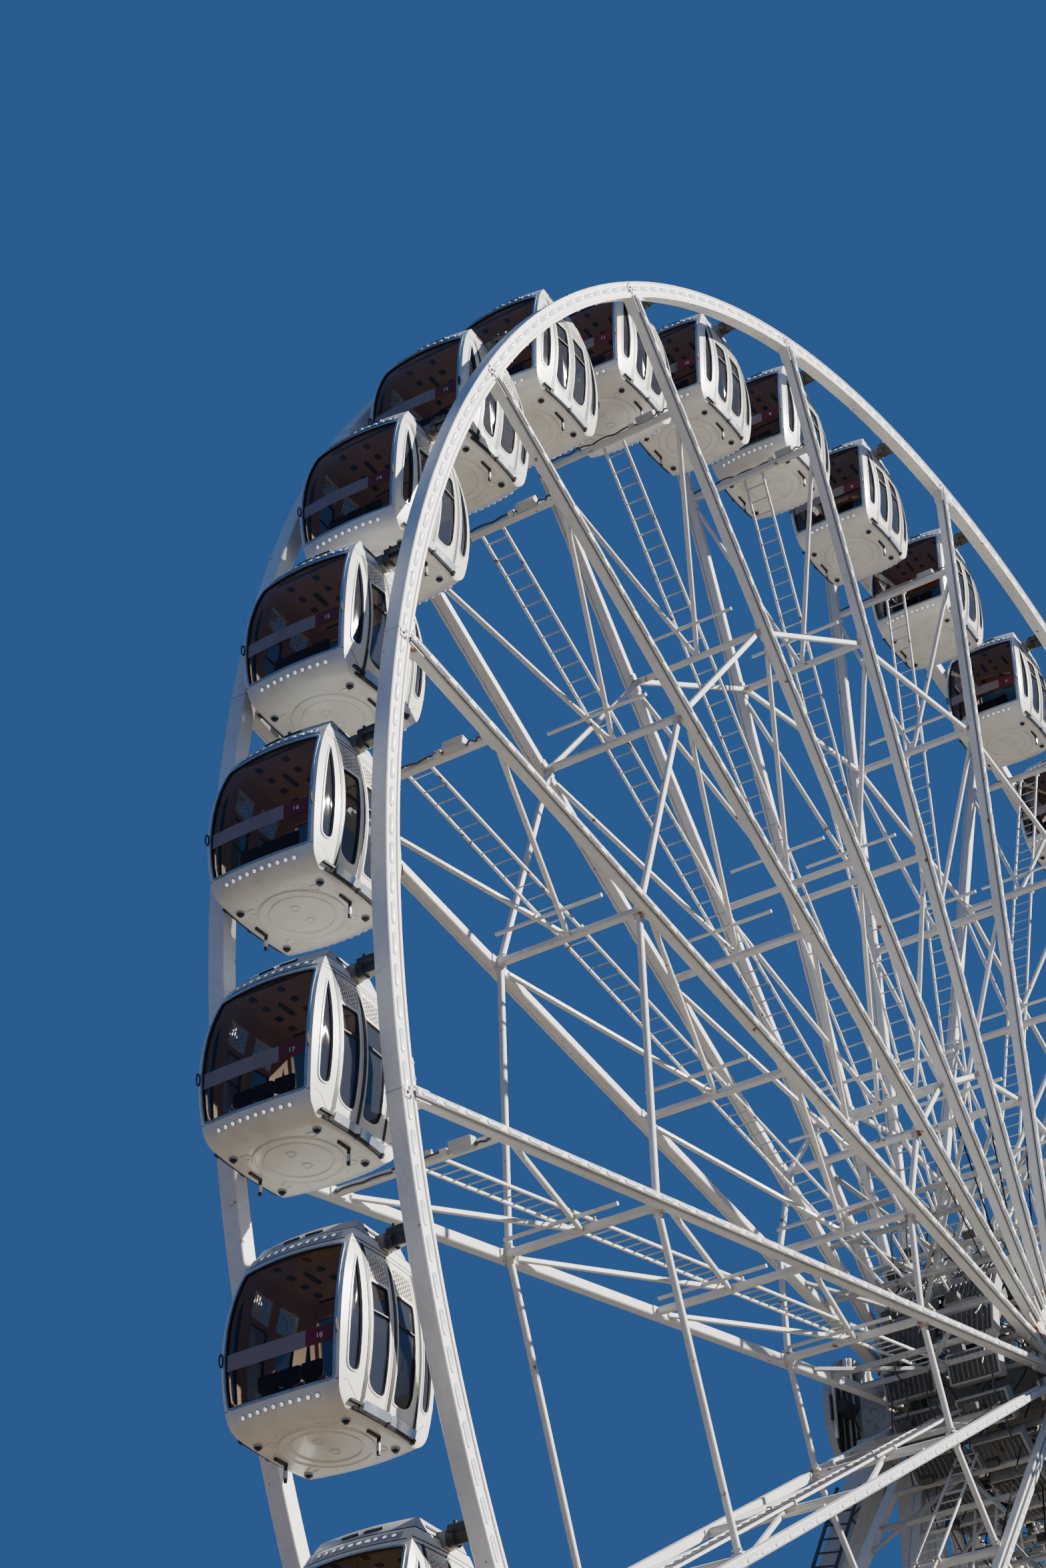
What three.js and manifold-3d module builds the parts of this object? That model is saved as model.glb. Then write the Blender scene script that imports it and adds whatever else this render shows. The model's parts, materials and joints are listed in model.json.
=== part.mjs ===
// A travelling ferris wheel: 36 closed cabins hang between two rims, the wheel turns on an axle
// between two A-frame towers, and people board from a low platform.
// Model at half size. Frame: +Z up, wheel axis along Y, front face towards -Y, origin on the ground
// under the hub.

import * as THREE from 'three';
import { mergeVertices } from 'three/addons/utils/BufferGeometryUtils.js';
import Module from 'manifold-3d';

const wasm = await Module();
wasm.setup();

// Sizes are those of the real wheel in metres, and mm() turns them into the model's millimetres
const MODEL_SCALE = 0.5;
const mm = (metres) => metres * 1000 * MODEL_SCALE;
const degrees = THREE.MathUtils.degToRad;

// Seat between two pieces that touch, in model millimetres
const SEAT = 0.3;

// Wheel
const BAYS = 18;
const CABINS_PER_BAY = 2;
const CABINS = BAYS * CABINS_PER_BAY;
const BAY_ANGLE = degrees(360 / BAYS);
const CABIN_ANGLE = degrees(360 / CABINS);
const WHEEL_REST_ANGLE = degrees(-1.2);
const HUB_HEIGHT = mm(24.8);
const RIM_RADIUS = mm(20.7);
const RIM_DEPTH = mm(0.27);
const RIM_WIDTH = mm(0.26);
const RIM_SIDES = 72;
const WHEEL_HALF_WIDTH = mm(1.45);
const SPOKE_SIZE = mm(0.16);

// Frames between the front and back spokes, as shares of the rim radius
const BEAM_RADII = [0.8885, 0.687, 0.475, 0.27].map((share) => share * RIM_RADIUS);
const BEAM_SIZE = mm(0.12);
const RING_ROD_SIZE = mm(0.09);

// Hub and axle
const HUB_SIDES = 16;
const DRUM_RADIUS = mm(0.62);
const FLANGE_RADIUS = mm(1.1);
const FLANGE_THICKNESS = mm(0.06);
const PLATE_BORE = mm(0.32);
const AXLE_RADIUS = mm(0.28);
const COLLAR_RADIUS = mm(0.45);
const AXLE_SHORT_OF_HEAD = mm(0.1);
const AXLE_CLEARANCE = mm(0.02);

// Cabin, in real metres from its pivot: half its width and half its depth at each height
const CABIN_WALL = mm(0.06);
const CABIN_WIDTHS = [
  [0.48, 0.2],
  [0.62, 0.03],
  [0.8, -0.3],
  [1.02, -1.3],
  [1.0, -1.95],
  [0.68, -2.42],
];
const CABIN_DEPTHS = [
  [0.7, 0.2],
  [0.83, -0.1],
  [0.95, -1.3],
  [0.9, -1.95],
  [0.7, -2.42],
];
const ROOM_WIDTH_CORNERS = [0, 2, 3, 5];
const ROOM_DEPTH_CORNERS = [0, 2, 4];
const SIDE_WINDOW = { low: mm(-1.95), high: mm(-0.33), halfWidth: mm(0.66) };
const DOOR_WINDOW = { low: mm(-1.9), high: mm(-0.7), near: mm(0.07), far: mm(0.43) };
const HANGER = { halfWidth: mm(0.09), low: mm(-0.1), high: mm(0.1), root: mm(0.72), end: mm(0.88) };
const RIM_ARM_SIZE = mm(0.16);

// Towers
const HEAD_NEAR = mm(1.66);
const HEAD_FAR = mm(2.3);
const HEAD_HALF_WIDTH = mm(0.75);
const HEAD_BELOW_AXLE = mm(0.6);
const HEAD_ABOVE_AXLE = mm(0.55);
const LEG_SIZE = mm(0.5);
const LEG_TOP = { x: mm(0.48), y: mm(1.96) };
const LEG_FOOT = { x: mm(9.8), y: mm(6.7) };
const TIE_SIZE = mm(0.28);
const TIE_LEVELS = [0.36, 0.7].map((share) => share * HUB_HEIGHT);
const STRUT_SIZE = mm(0.22);
const STRUT_FOOT_SHARE = 0.85;
const DISC_SIDES = 24;
const DISC_RADIUS = mm(1.35);
const DISC_NEAR = mm(2.62);
const DISC_FAR = mm(2.76);
const DISC_BOSS_RADIUS = mm(0.4);

// Base frame and boarding platform
const BASE_BEAM = mm(0.35);
const PAD_HALF = mm(0.75);
const CROSS_BEAM_X = mm(5.2);
const INNER_BEAM_Y = [mm(1.3), mm(3.9)];
const DECK_TOP = mm(1.65);
const DECK_THICKNESS = mm(0.2);
const DECK_HALF_LENGTH = mm(6.0);
const DECK_NEAR = mm(0.95);
const DECK_FAR = mm(4.4);
const TROUGH_TOP = mm(1.1);
const TROUGH_WALL = mm(0.1);
const POST_SIZE = mm(0.18);
const POST_SHARES = [-0.8, -0.27, 0.27, 0.8];
const RAIL_HEIGHT = mm(1.1);
const RAIL_SIZE = mm(0.06);
const RAIL_INSET = mm(0.03);
const RAIL_LEVELS = [0.5, 1];
const RAIL_POSTS = 5;
const STEPS = 9;
const TREAD = mm(0.28);
const STAIR_NEAR = mm(2.4);
const STAIR_FAR = mm(4.2);

// Drive under the rims
const DRIVE_X = mm(4.5);
const TYRE_RADIUS = mm(0.35);
const TYRE_HALF_WIDTH = mm(0.11);
const TYRE_CLEARANCE = mm(0.04);
const TYRE_SIDES = 16;
const DRIVE_STAND_HALF = mm(0.22);

// A distance past every piece, for blocks that cut
const BEYOND = mm(60);

const PAINT = {
  frame: { color: 0xe6e4dd, roughness: 0.45, metalness: 0.0 },
  cabin: { color: 0xf1eee4, roughness: 0.25, metalness: 0.0 },
  machinery: { color: 0x3a3c3f, roughness: 0.5, metalness: 0.4 },
  deck: { color: 0x9b9c9a, roughness: 0.7, metalness: 0.2 },
};

// Solids

function solid(geometry) {
  geometry.deleteAttribute('normal');
  geometry.deleteAttribute('uv');
  const merged = mergeVertices(geometry, 1e-3);
  const body = new wasm.Mesh({
    numProp: 3,
    vertProperties: merged.attributes.position.array,
    triVerts: new Uint32Array(merged.index.array),
  });
  return new wasm.Manifold(body);
}

function join(solids) {
  return solids.reduce((whole, piece) => whole.add(piece));
}

function block([x0, x1], [y0, y1], [z0, z1], turn = 0) {
  const geometry = new THREE.BoxGeometry(x1 - x0, y1 - y0, z1 - z0);
  geometry.translate((x0 + x1) / 2, (y0 + y1) / 2, (z0 + z1) / 2);
  geometry.rotateY(turn);
  return solid(geometry);
}

// A straight bar from one point to another: width lies across, depth along the facing direction
function bar(from, to, width, depth, facing) {
  const along = new THREE.Vector3().subVectors(to, from);
  const length = along.length();
  along.normalize();
  const across = new THREE.Vector3().crossVectors(facing, along).normalize();
  const face = new THREE.Vector3().crossVectors(along, across);
  const geometry = new THREE.BoxGeometry(width, depth, length);
  const middle = new THREE.Vector3().addVectors(from, to).multiplyScalar(0.5);
  geometry.applyMatrix4(new THREE.Matrix4().makeBasis(across, face, along).setPosition(middle));
  return solid(geometry);
}

// A body turned about the Y axis from a closed profile of [radius, y] points
function turned(profile, sides, phase = 0) {
  const points = profile.map(([radius, y]) => new THREE.Vector2(radius, y));
  return solid(new THREE.LatheGeometry(points, sides, phase));
}

function ring(innerRadius, outerRadius, y0, y1, sides, phase = 0) {
  const profile = [
    [innerRadius, y0],
    [outerRadius, y0],
    [outerRadius, y1],
    [innerRadius, y1],
    [innerRadius, y0],
  ];
  return turned(profile, sides, phase);
}

// A flat outline of [x, z] points carried along Y, then turned about Z
function prism(outline, y0, y1, turn = 0) {
  const shape = new THREE.Shape(outline.map(([x, z]) => new THREE.Vector2(x, z)));
  const geometry = new THREE.ExtrudeGeometry(shape, { depth: y1 - y0, bevelEnabled: false });
  geometry.rotateX(Math.PI / 2);
  geometry.translate(0, y1, 0);
  geometry.rotateZ(turn);
  return solid(geometry);
}

function named(name, body, paint) {
  const { vertProperties, triVerts } = body.getMesh();
  const geometry = new THREE.BufferGeometry();
  geometry.setAttribute('position', new THREE.BufferAttribute(new Float32Array(vertProperties), 3));
  geometry.setIndex(new THREE.BufferAttribute(new Uint32Array(triVerts), 1));
  const mesh = new THREE.Mesh(geometry, new THREE.MeshStandardMaterial(paint));
  mesh.name = name;
  return mesh;
}

const vec = (x, y, z) => new THREE.Vector3(x, y, z);
const ordered = (a, b) => [Math.min(a, b), Math.max(a, b)];
const AXIS = vec(0, 1, 0);
const outward = (angle) => vec(Math.sin(angle), 0, Math.cos(angle));
const sideName = (side) => (side < 0 ? 'front' : 'back');

// The wheel's own frame has its centre at the origin and one rim joint straight up

const bayAngles = Array.from({ length: BAYS }, (_, i) => i * BAY_ANGLE);
const pivotAngles = Array.from({ length: CABINS }, (_, i) => (i + 0.5) * CABIN_ANGLE);
const RIM_INNER = RIM_RADIUS - RIM_DEPTH / 2;
const RIM_OUTER = RIM_RADIUS + RIM_DEPTH / 2;
const RIM_NEAR = WHEEL_HALF_WIDTH - RIM_WIDTH;
const SPOKE_NEAR = WHEEL_HALF_WIDTH - SPOKE_SIZE;

// The rim is a polygon whose flats lie under every joint and every cabin pivot
function rim(side) {
  const flatToCorner = 1 / Math.cos(Math.PI / RIM_SIDES);
  const hoop = ring(
    RIM_INNER * flatToCorner,
    RIM_OUTER * flatToCorner,
    side < 0 ? -WHEEL_HALF_WIDTH : RIM_NEAR,
    side < 0 ? -RIM_NEAR : WHEEL_HALF_WIDTH,
    RIM_SIDES,
    Math.PI / RIM_SIDES,
  );
  const armEnds = ordered(side * (HANGER.end + SEAT), side * (RIM_NEAR + RIM_WIDTH / 4));
  const half = RIM_ARM_SIZE / 2;
  const arms = pivotAngles.map((angle) =>
    block([-half, half], armEnds, [RIM_RADIUS - half, RIM_RADIUS + half], angle),
  );
  return join([hoop, ...arms]);
}

function crossbeam(angle, radius, y0, y1) {
  const out = outward(angle).multiplyScalar(radius);
  const from = out.clone().setY(y0);
  const to = out.clone().setY(y1);
  return bar(from, to, BEAM_SIZE, BEAM_SIZE, outward(angle));
}

// A hub plate and its spokes in one plane, which carry a circle of crossbeams over to the other
function spokes(side, beam) {
  const plane = ordered(side * WHEEL_HALF_WIDTH, side * SPOKE_NEAR);
  const plate = ring(PLATE_BORE, FLANGE_RADIUS, ...plane, HUB_SIDES);
  const half = SPOKE_SIZE / 2;
  const root = (PLATE_BORE + FLANGE_RADIUS) / 2;
  const spars = bayAngles.map((angle) =>
    block([-half, half], plane, [root, RIM_INNER - SEAT], angle),
  );
  const beamEnds = ordered(side * (SPOKE_NEAR + half), -side * (SPOKE_NEAR - SEAT));
  const beams = bayAngles.map((angle) => crossbeam(angle, BEAM_RADII[beam], ...beamEnds));
  return join([plate, ...spars, ...beams]);
}

// A polygon of rods in the front and the back plane, and the crossbeams at its corners
function beamRing(beam) {
  const radius = BEAM_RADII[beam];
  const y = SPOKE_NEAR - SEAT;
  const half = RING_ROD_SIZE / 2;
  const rods = [-y, y - RING_ROD_SIZE].map((y0) =>
    ring(radius - half, radius + half, y0, y0 + RING_ROD_SIZE, BAYS),
  );
  const beams = bayAngles.map((angle) => crossbeam(angle, radius, -y, y));
  return join([...rods, ...beams]);
}

function hub() {
  const seat = WHEEL_HALF_WIDTH - SPOKE_SIZE - SEAT;
  const collar = HEAD_NEAR - SEAT;
  const end = HEAD_FAR - AXLE_SHORT_OF_HEAD;
  const profile = [
    [AXLE_RADIUS, end],
    [AXLE_RADIUS, collar],
    [COLLAR_RADIUS, collar],
    [COLLAR_RADIUS, WHEEL_HALF_WIDTH + SEAT],
    [AXLE_RADIUS, WHEEL_HALF_WIDTH + SEAT],
    [AXLE_RADIUS, seat],
    [FLANGE_RADIUS, seat],
    [FLANGE_RADIUS, seat - FLANGE_THICKNESS],
    [DRUM_RADIUS, seat - FLANGE_THICKNESS],
  ];
  const frontHalf = profile.map(([radius, y]) => [radius, -y]).reverse();
  const whole = [[0, end], ...profile, ...frontHalf, [0, -end]];
  return turned(whole.reverse(), HUB_SIDES);
}

// Cabin: a barrel-sided shell with its windows cut through, hanging from its pivot at the origin

function mirroredOutline(rightHalf) {
  const left = rightHalf.map(([x, z]) => [-x, z]).reverse();
  return [...rightHalf, ...left];
}

// A convex outline with every side moved inwards by the same distance
function inset(outline, distance) {
  const lines = outline.map(([x0, z0], i) => {
    const [x1, z1] = outline[(i + 1) % outline.length];
    const length = Math.hypot(x1 - x0, z1 - z0);
    const normal = [(z1 - z0) / length, -(x1 - x0) / length];
    const offset = normal[0] * x0 + normal[1] * z0 + distance;
    return { normal, offset };
  });
  return lines.map((line, i) => {
    const before = lines[(i + lines.length - 1) % lines.length];
    const [a, b] = before.normal;
    const [c, d] = line.normal;
    const det = a * d - b * c;
    return [
      (before.offset * d - b * line.offset) / det,
      (a * line.offset - c * before.offset) / det,
    ];
  });
}

// What lies inside one outline seen along Y and another seen along X
function barrel(widthOutline, depthOutline) {
  const acrossX = prism(widthOutline, -BEYOND, BEYOND);
  const acrossY = prism(depthOutline, -BEYOND, BEYOND, Math.PI / 2);
  return acrossX.intersect(acrossY);
}

function cabin() {
  const sized = (halves) => halves.map(([half, z]) => [mm(half), mm(z)]);
  const widths = sized(CABIN_WIDTHS);
  const depths = sized(CABIN_DEPTHS);
  const shell = barrel(mirroredOutline(widths), mirroredOutline(depths));
  const room = barrel(
    inset(mirroredOutline(ROOM_WIDTH_CORNERS.map((corner) => widths[corner])), CABIN_WALL),
    inset(mirroredOutline(ROOM_DEPTH_CORNERS.map((corner) => depths[corner])), CABIN_WALL),
  );
  const sideWindows = block(
    [-BEYOND, BEYOND],
    [-SIDE_WINDOW.halfWidth, SIDE_WINDOW.halfWidth],
    [SIDE_WINDOW.low, SIDE_WINDOW.high],
  );
  const doorWindows = [-1, 1].map((side) => {
    const edges = ordered(side * DOOR_WINDOW.near, side * DOOR_WINDOW.far);
    return block(edges, [-BEYOND, BEYOND], [DOOR_WINDOW.low, DOOR_WINDOW.high]);
  });
  const hangers = [-1, 1].map((side) => {
    const ends = ordered(side * HANGER.root, side * HANGER.end);
    return block([-HANGER.halfWidth, HANGER.halfWidth], ends, [HANGER.low, HANGER.high]);
  });
  const open = [room, sideWindows, ...doorWindows].reduce((left, cut) => left.subtract(cut), shell);
  return join([open, ...hangers]);
}

// Towers

function legEnds(x, y) {
  const top = vec(x * LEG_TOP.x, y * LEG_TOP.y, HUB_HEIGHT - HEAD_BELOW_AXLE + LEG_SIZE);
  const foot = vec(x * LEG_FOOT.x, y * LEG_FOOT.y, BASE_BEAM - LEG_SIZE);
  return { top, foot };
}

function leg(x, y, growth = 0) {
  const { top, foot } = legEnds(x, y);
  const size = LEG_SIZE + 2 * growth;
  const whole = bar(foot, top, size, size, vec(0, y, 0));
  return whole.intersect(
    block([-BEYOND, BEYOND], [-BEYOND, BEYOND], [
      BASE_BEAM + SEAT - growth,
      HUB_HEIGHT - HEAD_BELOW_AXLE - SEAT + growth,
    ]),
  );
}

// The two legs of a tower lean together, so each is cut off at the middle plane
function towerLeg(x, y) {
  const half = ordered((x * SEAT) / 2, x * BEYOND);
  return leg(x, y).intersect(block(half, [-BEYOND, BEYOND], [0, BEYOND]));
}

function legPoint(x, y, z) {
  const { top, foot } = legEnds(x, y);
  return foot.clone().lerp(top, (z - foot.z) / (top.z - foot.z));
}

// A level tie at each height, with struts from near the lower tie's ends to the upper tie's middle
function towerTies(y) {
  const facing = vec(0, y, 0);
  const [low, high] = TIE_LEVELS;
  const pieces = TIE_LEVELS.map((z) =>
    bar(legPoint(-1, y, z), legPoint(1, y, z), TIE_SIZE, TIE_SIZE, facing),
  );
  const middle = (z) => legPoint(-1, y, z).lerp(legPoint(1, y, z), 0.5);
  for (const x of [-1, 1]) {
    const start = middle(low).lerp(legPoint(x, y, low), STRUT_FOOT_SHARE);
    pieces.push(bar(start, middle(high), STRUT_SIZE, STRUT_SIZE, facing));
  }
  return join(pieces).subtract(leg(-1, y, SEAT)).subtract(leg(1, y, SEAT));
}

function bearingHead(y) {
  const housing = block([-HEAD_HALF_WIDTH, HEAD_HALF_WIDTH], ordered(y * HEAD_NEAR, y * HEAD_FAR), [
    HUB_HEIGHT - HEAD_BELOW_AXLE,
    HUB_HEIGHT + HEAD_ABOVE_AXLE,
  ]);
  const boreRadius = AXLE_RADIUS + AXLE_CLEARANCE;
  const bore = new THREE.CylinderGeometry(boreRadius, boreRadius, HEAD_FAR * 2, HUB_SIDES);
  bore.translate(0, y * HEAD_FAR, HUB_HEIGHT);
  return housing.subtract(solid(bore));
}

function lightDisc(y) {
  const profile = [
    [0, HEAD_FAR + SEAT],
    [DISC_BOSS_RADIUS, HEAD_FAR + SEAT],
    [DISC_BOSS_RADIUS, DISC_NEAR],
    [DISC_RADIUS, DISC_NEAR],
    [DISC_RADIUS, DISC_FAR],
    [0, DISC_FAR],
  ];
  const points = y > 0 ? profile : profile.map(([radius, depth]) => [radius, -depth]).reverse();
  return turned(points, DISC_SIDES);
}

// Base and platform

function baseFrame() {
  const half = BASE_BEAM / 2;
  const z = [0, BASE_BEAM];
  const pieces = [];
  const lengthwise = (y, x) => pieces.push(block([-x, x], [y - half, y + half], z));
  const crosswise = (x, y) => pieces.push(block([x - half, x + half], [-y, y], z));
  for (const side of [-1, 1]) {
    lengthwise(side * LEG_FOOT.y, LEG_FOOT.x);
    crosswise(side * LEG_FOOT.x, LEG_FOOT.y);
    crosswise(side * CROSS_BEAM_X, LEG_FOOT.y);
    INNER_BEAM_Y.forEach((y) => lengthwise(side * y, CROSS_BEAM_X));
    for (const end of [-1, 1]) {
      const x = end * LEG_FOOT.x;
      const y = side * LEG_FOOT.y;
      pieces.push(block([x - PAD_HALF, x + PAD_HALF], [y - PAD_HALF, y + PAD_HALF], z));
    }
  }
  return join(pieces);
}

// Two decks, with the trough between them that the cabins pass over
function boardingPlatform() {
  const x = [-DECK_HALF_LENGTH, DECK_HALF_LENGTH];
  const deckZ = [DECK_TOP - DECK_THICKNESS, DECK_TOP];
  const troughZ = [TROUGH_TOP - DECK_THICKNESS, TROUGH_TOP];
  const pieces = [
    block(x, [-DECK_NEAR - TROUGH_WALL, DECK_NEAR + TROUGH_WALL], troughZ),
  ];
  const post = POST_SIZE / 2;
  for (const side of [-1, 1]) {
    const y = ordered(side * DECK_NEAR, side * DECK_FAR);
    pieces.push(block(x, y, deckZ));
    const wall = ordered(side * DECK_NEAR, side * (DECK_NEAR + TROUGH_WALL));
    pieces.push(block(x, wall, [troughZ[0], DECK_TOP]));
    for (const beamY of INNER_BEAM_Y) {
      for (const share of POST_SHARES) {
        const px = share * DECK_HALF_LENGTH;
        const py = side * beamY;
        pieces.push(
          block([px - post, px + post], [py - post, py + post], [BASE_BEAM + SEAT, deckZ[1]]),
        );
      }
    }
  }
  return join(pieces);
}

function railing(side) {
  const half = RAIL_SIZE / 2;
  const y = side * (DECK_FAR - half - RAIL_INSET);
  const ys = [y - half, y + half];
  const x = DECK_HALF_LENGTH - half - RAIL_INSET;
  const pieces = RAIL_LEVELS.map((share) => {
    const z = DECK_TOP + share * RAIL_HEIGHT;
    return block([-x, x], ys, [z - half, z + half]);
  });
  for (let i = 0; i < RAIL_POSTS; i += 1) {
    const px = -x + (2 * x * i) / (RAIL_POSTS - 1);
    pieces.push(block([px - half, px + half], ys, [DECK_TOP + SEAT, DECK_TOP + RAIL_HEIGHT]));
  }
  return join(pieces);
}

function stairs(end) {
  const rise = DECK_TOP / STEPS;
  const outline = [[0, 0], [0, DECK_TOP - rise]];
  for (let i = 1; i < STEPS; i += 1) {
    outline.push([i * TREAD, DECK_TOP - i * rise]);
    if (i < STEPS - 1) outline.push([i * TREAD, DECK_TOP - (i + 1) * rise]);
  }
  outline.push([(STEPS - 1) * TREAD, 0]);
  const start = DECK_HALF_LENGTH + SEAT;
  const placed = outline.map(([x, z]) => [end * (start + x), z]);
  return prism(placed, -STAIR_FAR, -STAIR_NEAR);
}

// Tyres that turn the rims from below, on two stands joined by a shaft housing in the trough
function rimDrive() {
  const reach = RIM_OUTER / Math.cos(Math.PI / RIM_SIDES) + TYRE_CLEARANCE + TYRE_RADIUS;
  const tyreZ = HUB_HEIGHT - Math.sqrt(reach ** 2 - DRIVE_X ** 2);
  const pieces = [];
  const middleY = WHEEL_HALF_WIDTH - RIM_WIDTH / 2;
  for (const side of [-1, 1]) {
    const tyre = new THREE.CylinderGeometry(TYRE_RADIUS, TYRE_RADIUS, 2 * TYRE_HALF_WIDTH, TYRE_SIDES);
    tyre.translate(DRIVE_X, side * middleY, tyreZ);
    const y = side * middleY;
    const outer = side * (middleY + DRIVE_STAND_HALF * 2);
    const stand = ordered(y, outer);
    const box = DRIVE_STAND_HALF;
    pieces.push(solid(tyre));
    pieces.push(block([DRIVE_X - box, DRIVE_X + box], stand, [DECK_TOP + SEAT, tyreZ + box / 2]));
  }
  const shaft = TYRE_HALF_WIDTH;
  pieces.push(
    block([DRIVE_X - shaft, DRIVE_X + shaft], [-middleY, middleY], [
      DECK_TOP + SEAT,
      DECK_TOP + SEAT + 2 * shaft,
    ]),
  );
  return join(pieces);
}

// Assembly

const ferrisWheel = new THREE.Group();

const wheel = new THREE.Group();
wheel.position.set(0, 0, HUB_HEIGHT);
wheel.rotation.y = WHEEL_REST_ANGLE;
wheel.add(named('rim_front', rim(-1), PAINT.frame));
wheel.add(named('rim_back', rim(1), PAINT.frame));
wheel.add(named('spokes_front', spokes(-1, 0), PAINT.frame));
wheel.add(named('brace_ring_outer', beamRing(1), PAINT.frame));
wheel.add(named('spokes_back', spokes(1, 2), PAINT.frame));
wheel.add(named('brace_ring_inner', beamRing(3), PAINT.frame));
wheel.add(named('hub', hub(), PAINT.machinery));
ferrisWheel.add(wheel);

const cabinBody = cabin();
pivotAngles.forEach((angle, i) => {
  const number = String(i + 1).padStart(2, '0');
  const mesh = named(`cabin_${number}`, cabinBody, PAINT.cabin);
  const pivot = outward(angle + WHEEL_REST_ANGLE).multiplyScalar(RIM_RADIUS);
  mesh.position.set(pivot.x, 0, HUB_HEIGHT + pivot.z);
  ferrisWheel.add(mesh);
});

for (const side of [-1, 1]) {
  const name = sideName(side);
  ferrisWheel.add(named(`leg_${name}_left`, towerLeg(-1, side), PAINT.frame));
  ferrisWheel.add(named(`leg_${name}_right`, towerLeg(1, side), PAINT.frame));
  ferrisWheel.add(named(`tower_ties_${name}`, towerTies(side), PAINT.frame));
  ferrisWheel.add(named(`bearing_head_${name}`, bearingHead(side), PAINT.machinery));
  const disc = named(`light_disc_${name}`, lightDisc(side), PAINT.machinery);
  disc.position.z = HUB_HEIGHT;
  ferrisWheel.add(disc);
  ferrisWheel.add(named(`railing_${name}`, railing(side), PAINT.frame));
}

ferrisWheel.add(named('base_frame', baseFrame(), PAINT.frame));
ferrisWheel.add(named('boarding_platform', boardingPlatform(), PAINT.deck));
ferrisWheel.add(named('stairs_left', stairs(-1), PAINT.deck));
ferrisWheel.add(named('stairs_right', stairs(1), PAINT.deck));
ferrisWheel.add(named('rim_drive', rimDrive(), PAINT.machinery));

export default ferrisWheel;
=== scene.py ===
# %% [markdown]
# A travelling ferris wheel in half size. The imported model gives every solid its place, and this
# notebook gives it its looks: smooth rims with lamp slots, light steel trusses with ladders, and
# 36 moulded cabins. Each step says what the piece is on the real wheel, how it could be made, and
# why it is made this way.

# %% Load the frame
import functools
import json
import math

import bmesh
import bpy
import numpy as np
from mathutils import Matrix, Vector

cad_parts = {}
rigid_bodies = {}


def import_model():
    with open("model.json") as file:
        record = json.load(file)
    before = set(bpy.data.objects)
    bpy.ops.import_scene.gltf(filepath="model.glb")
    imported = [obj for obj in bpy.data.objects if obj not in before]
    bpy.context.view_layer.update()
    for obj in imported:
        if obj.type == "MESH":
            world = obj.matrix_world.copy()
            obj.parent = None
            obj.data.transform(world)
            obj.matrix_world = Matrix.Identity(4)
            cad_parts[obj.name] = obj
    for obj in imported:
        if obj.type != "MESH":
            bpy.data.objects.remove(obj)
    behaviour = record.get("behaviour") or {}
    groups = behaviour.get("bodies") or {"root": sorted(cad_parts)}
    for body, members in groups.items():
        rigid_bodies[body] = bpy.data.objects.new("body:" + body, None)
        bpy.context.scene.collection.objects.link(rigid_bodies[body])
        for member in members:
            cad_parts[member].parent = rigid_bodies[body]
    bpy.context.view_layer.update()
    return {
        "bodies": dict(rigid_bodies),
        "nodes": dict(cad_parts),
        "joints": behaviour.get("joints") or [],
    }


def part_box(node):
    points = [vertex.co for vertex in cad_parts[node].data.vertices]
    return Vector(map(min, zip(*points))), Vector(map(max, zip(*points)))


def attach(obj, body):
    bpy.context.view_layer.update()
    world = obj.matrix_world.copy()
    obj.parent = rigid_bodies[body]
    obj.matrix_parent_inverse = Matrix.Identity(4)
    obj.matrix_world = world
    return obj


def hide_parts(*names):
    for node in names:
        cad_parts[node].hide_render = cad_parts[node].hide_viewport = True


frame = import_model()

JOINTS = {joint["name"]: joint for joint in frame["joints"]}

# %% [markdown]
# Every size below is written as it is on the real wheel, in metres, and one factor brings it to the
# model. Where the wheel stands, and where each cabin hangs, is read from the joints of the frame, so
# the looks can't drift away from the mechanics.

# %% Driving sizes
MODEL_SCALE = 0.5
BAYS = 18
BAY_ANGLE = 2 * math.pi / BAYS
WHEEL_TURN = math.radians(-1.2)

HUB = np.array(JOINTS["wheel_spin"]["pos_m"]) / MODEL_SCALE
CABINS = sorted(name for name in frame["bodies"] if name.startswith("cabin_"))
PIVOTS = {name: np.array(JOINTS[name + "_swing"]["pos_m"]) / MODEL_SCALE for name in CABINS}
RIM_RADIUS = float(np.linalg.norm(PIVOTS[CABINS[0]] - HUB))

RIM_DEPTH = 0.27
RIM_WIDTH = 0.26
HALF_WIDTH = 1.45
SPOKE_SIZE = 0.16
SPOKE_INSIDE = HALF_WIDTH - SPOKE_SIZE
BEAM_RADII = [share * RIM_RADIUS for share in (0.8885, 0.687, 0.475, 0.27)]
print("rim radius", round(RIM_RADIUS, 2), "hub height", HUB[2], "cabins", len(CABINS))

# %% [markdown]
# The camera looks up from low on the left, close to the wheel, as the photographer did. Its place
# and its turn were found by fitting the eighteen joints of the rim. A camera could also be aimed
# with a Track To constraint, but then its slight roll would be lost, so its three axes are worked
# out here from yaw, pitch and roll. The camera and the floor are given in the model's own metres.

# %% Camera
CAMERA_PLACE = (-23.407, -10.063, 0.808)
CAMERA_YAW = math.radians(57.476)
CAMERA_PITCH = math.radians(36.319)
CAMERA_ROLL = math.radians(-1.234)
FOCAL_PIXELS = 4548.15
IMAGE_HEIGHT_PIXELS = 2351
SENSOR_MM = 36.0


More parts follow.
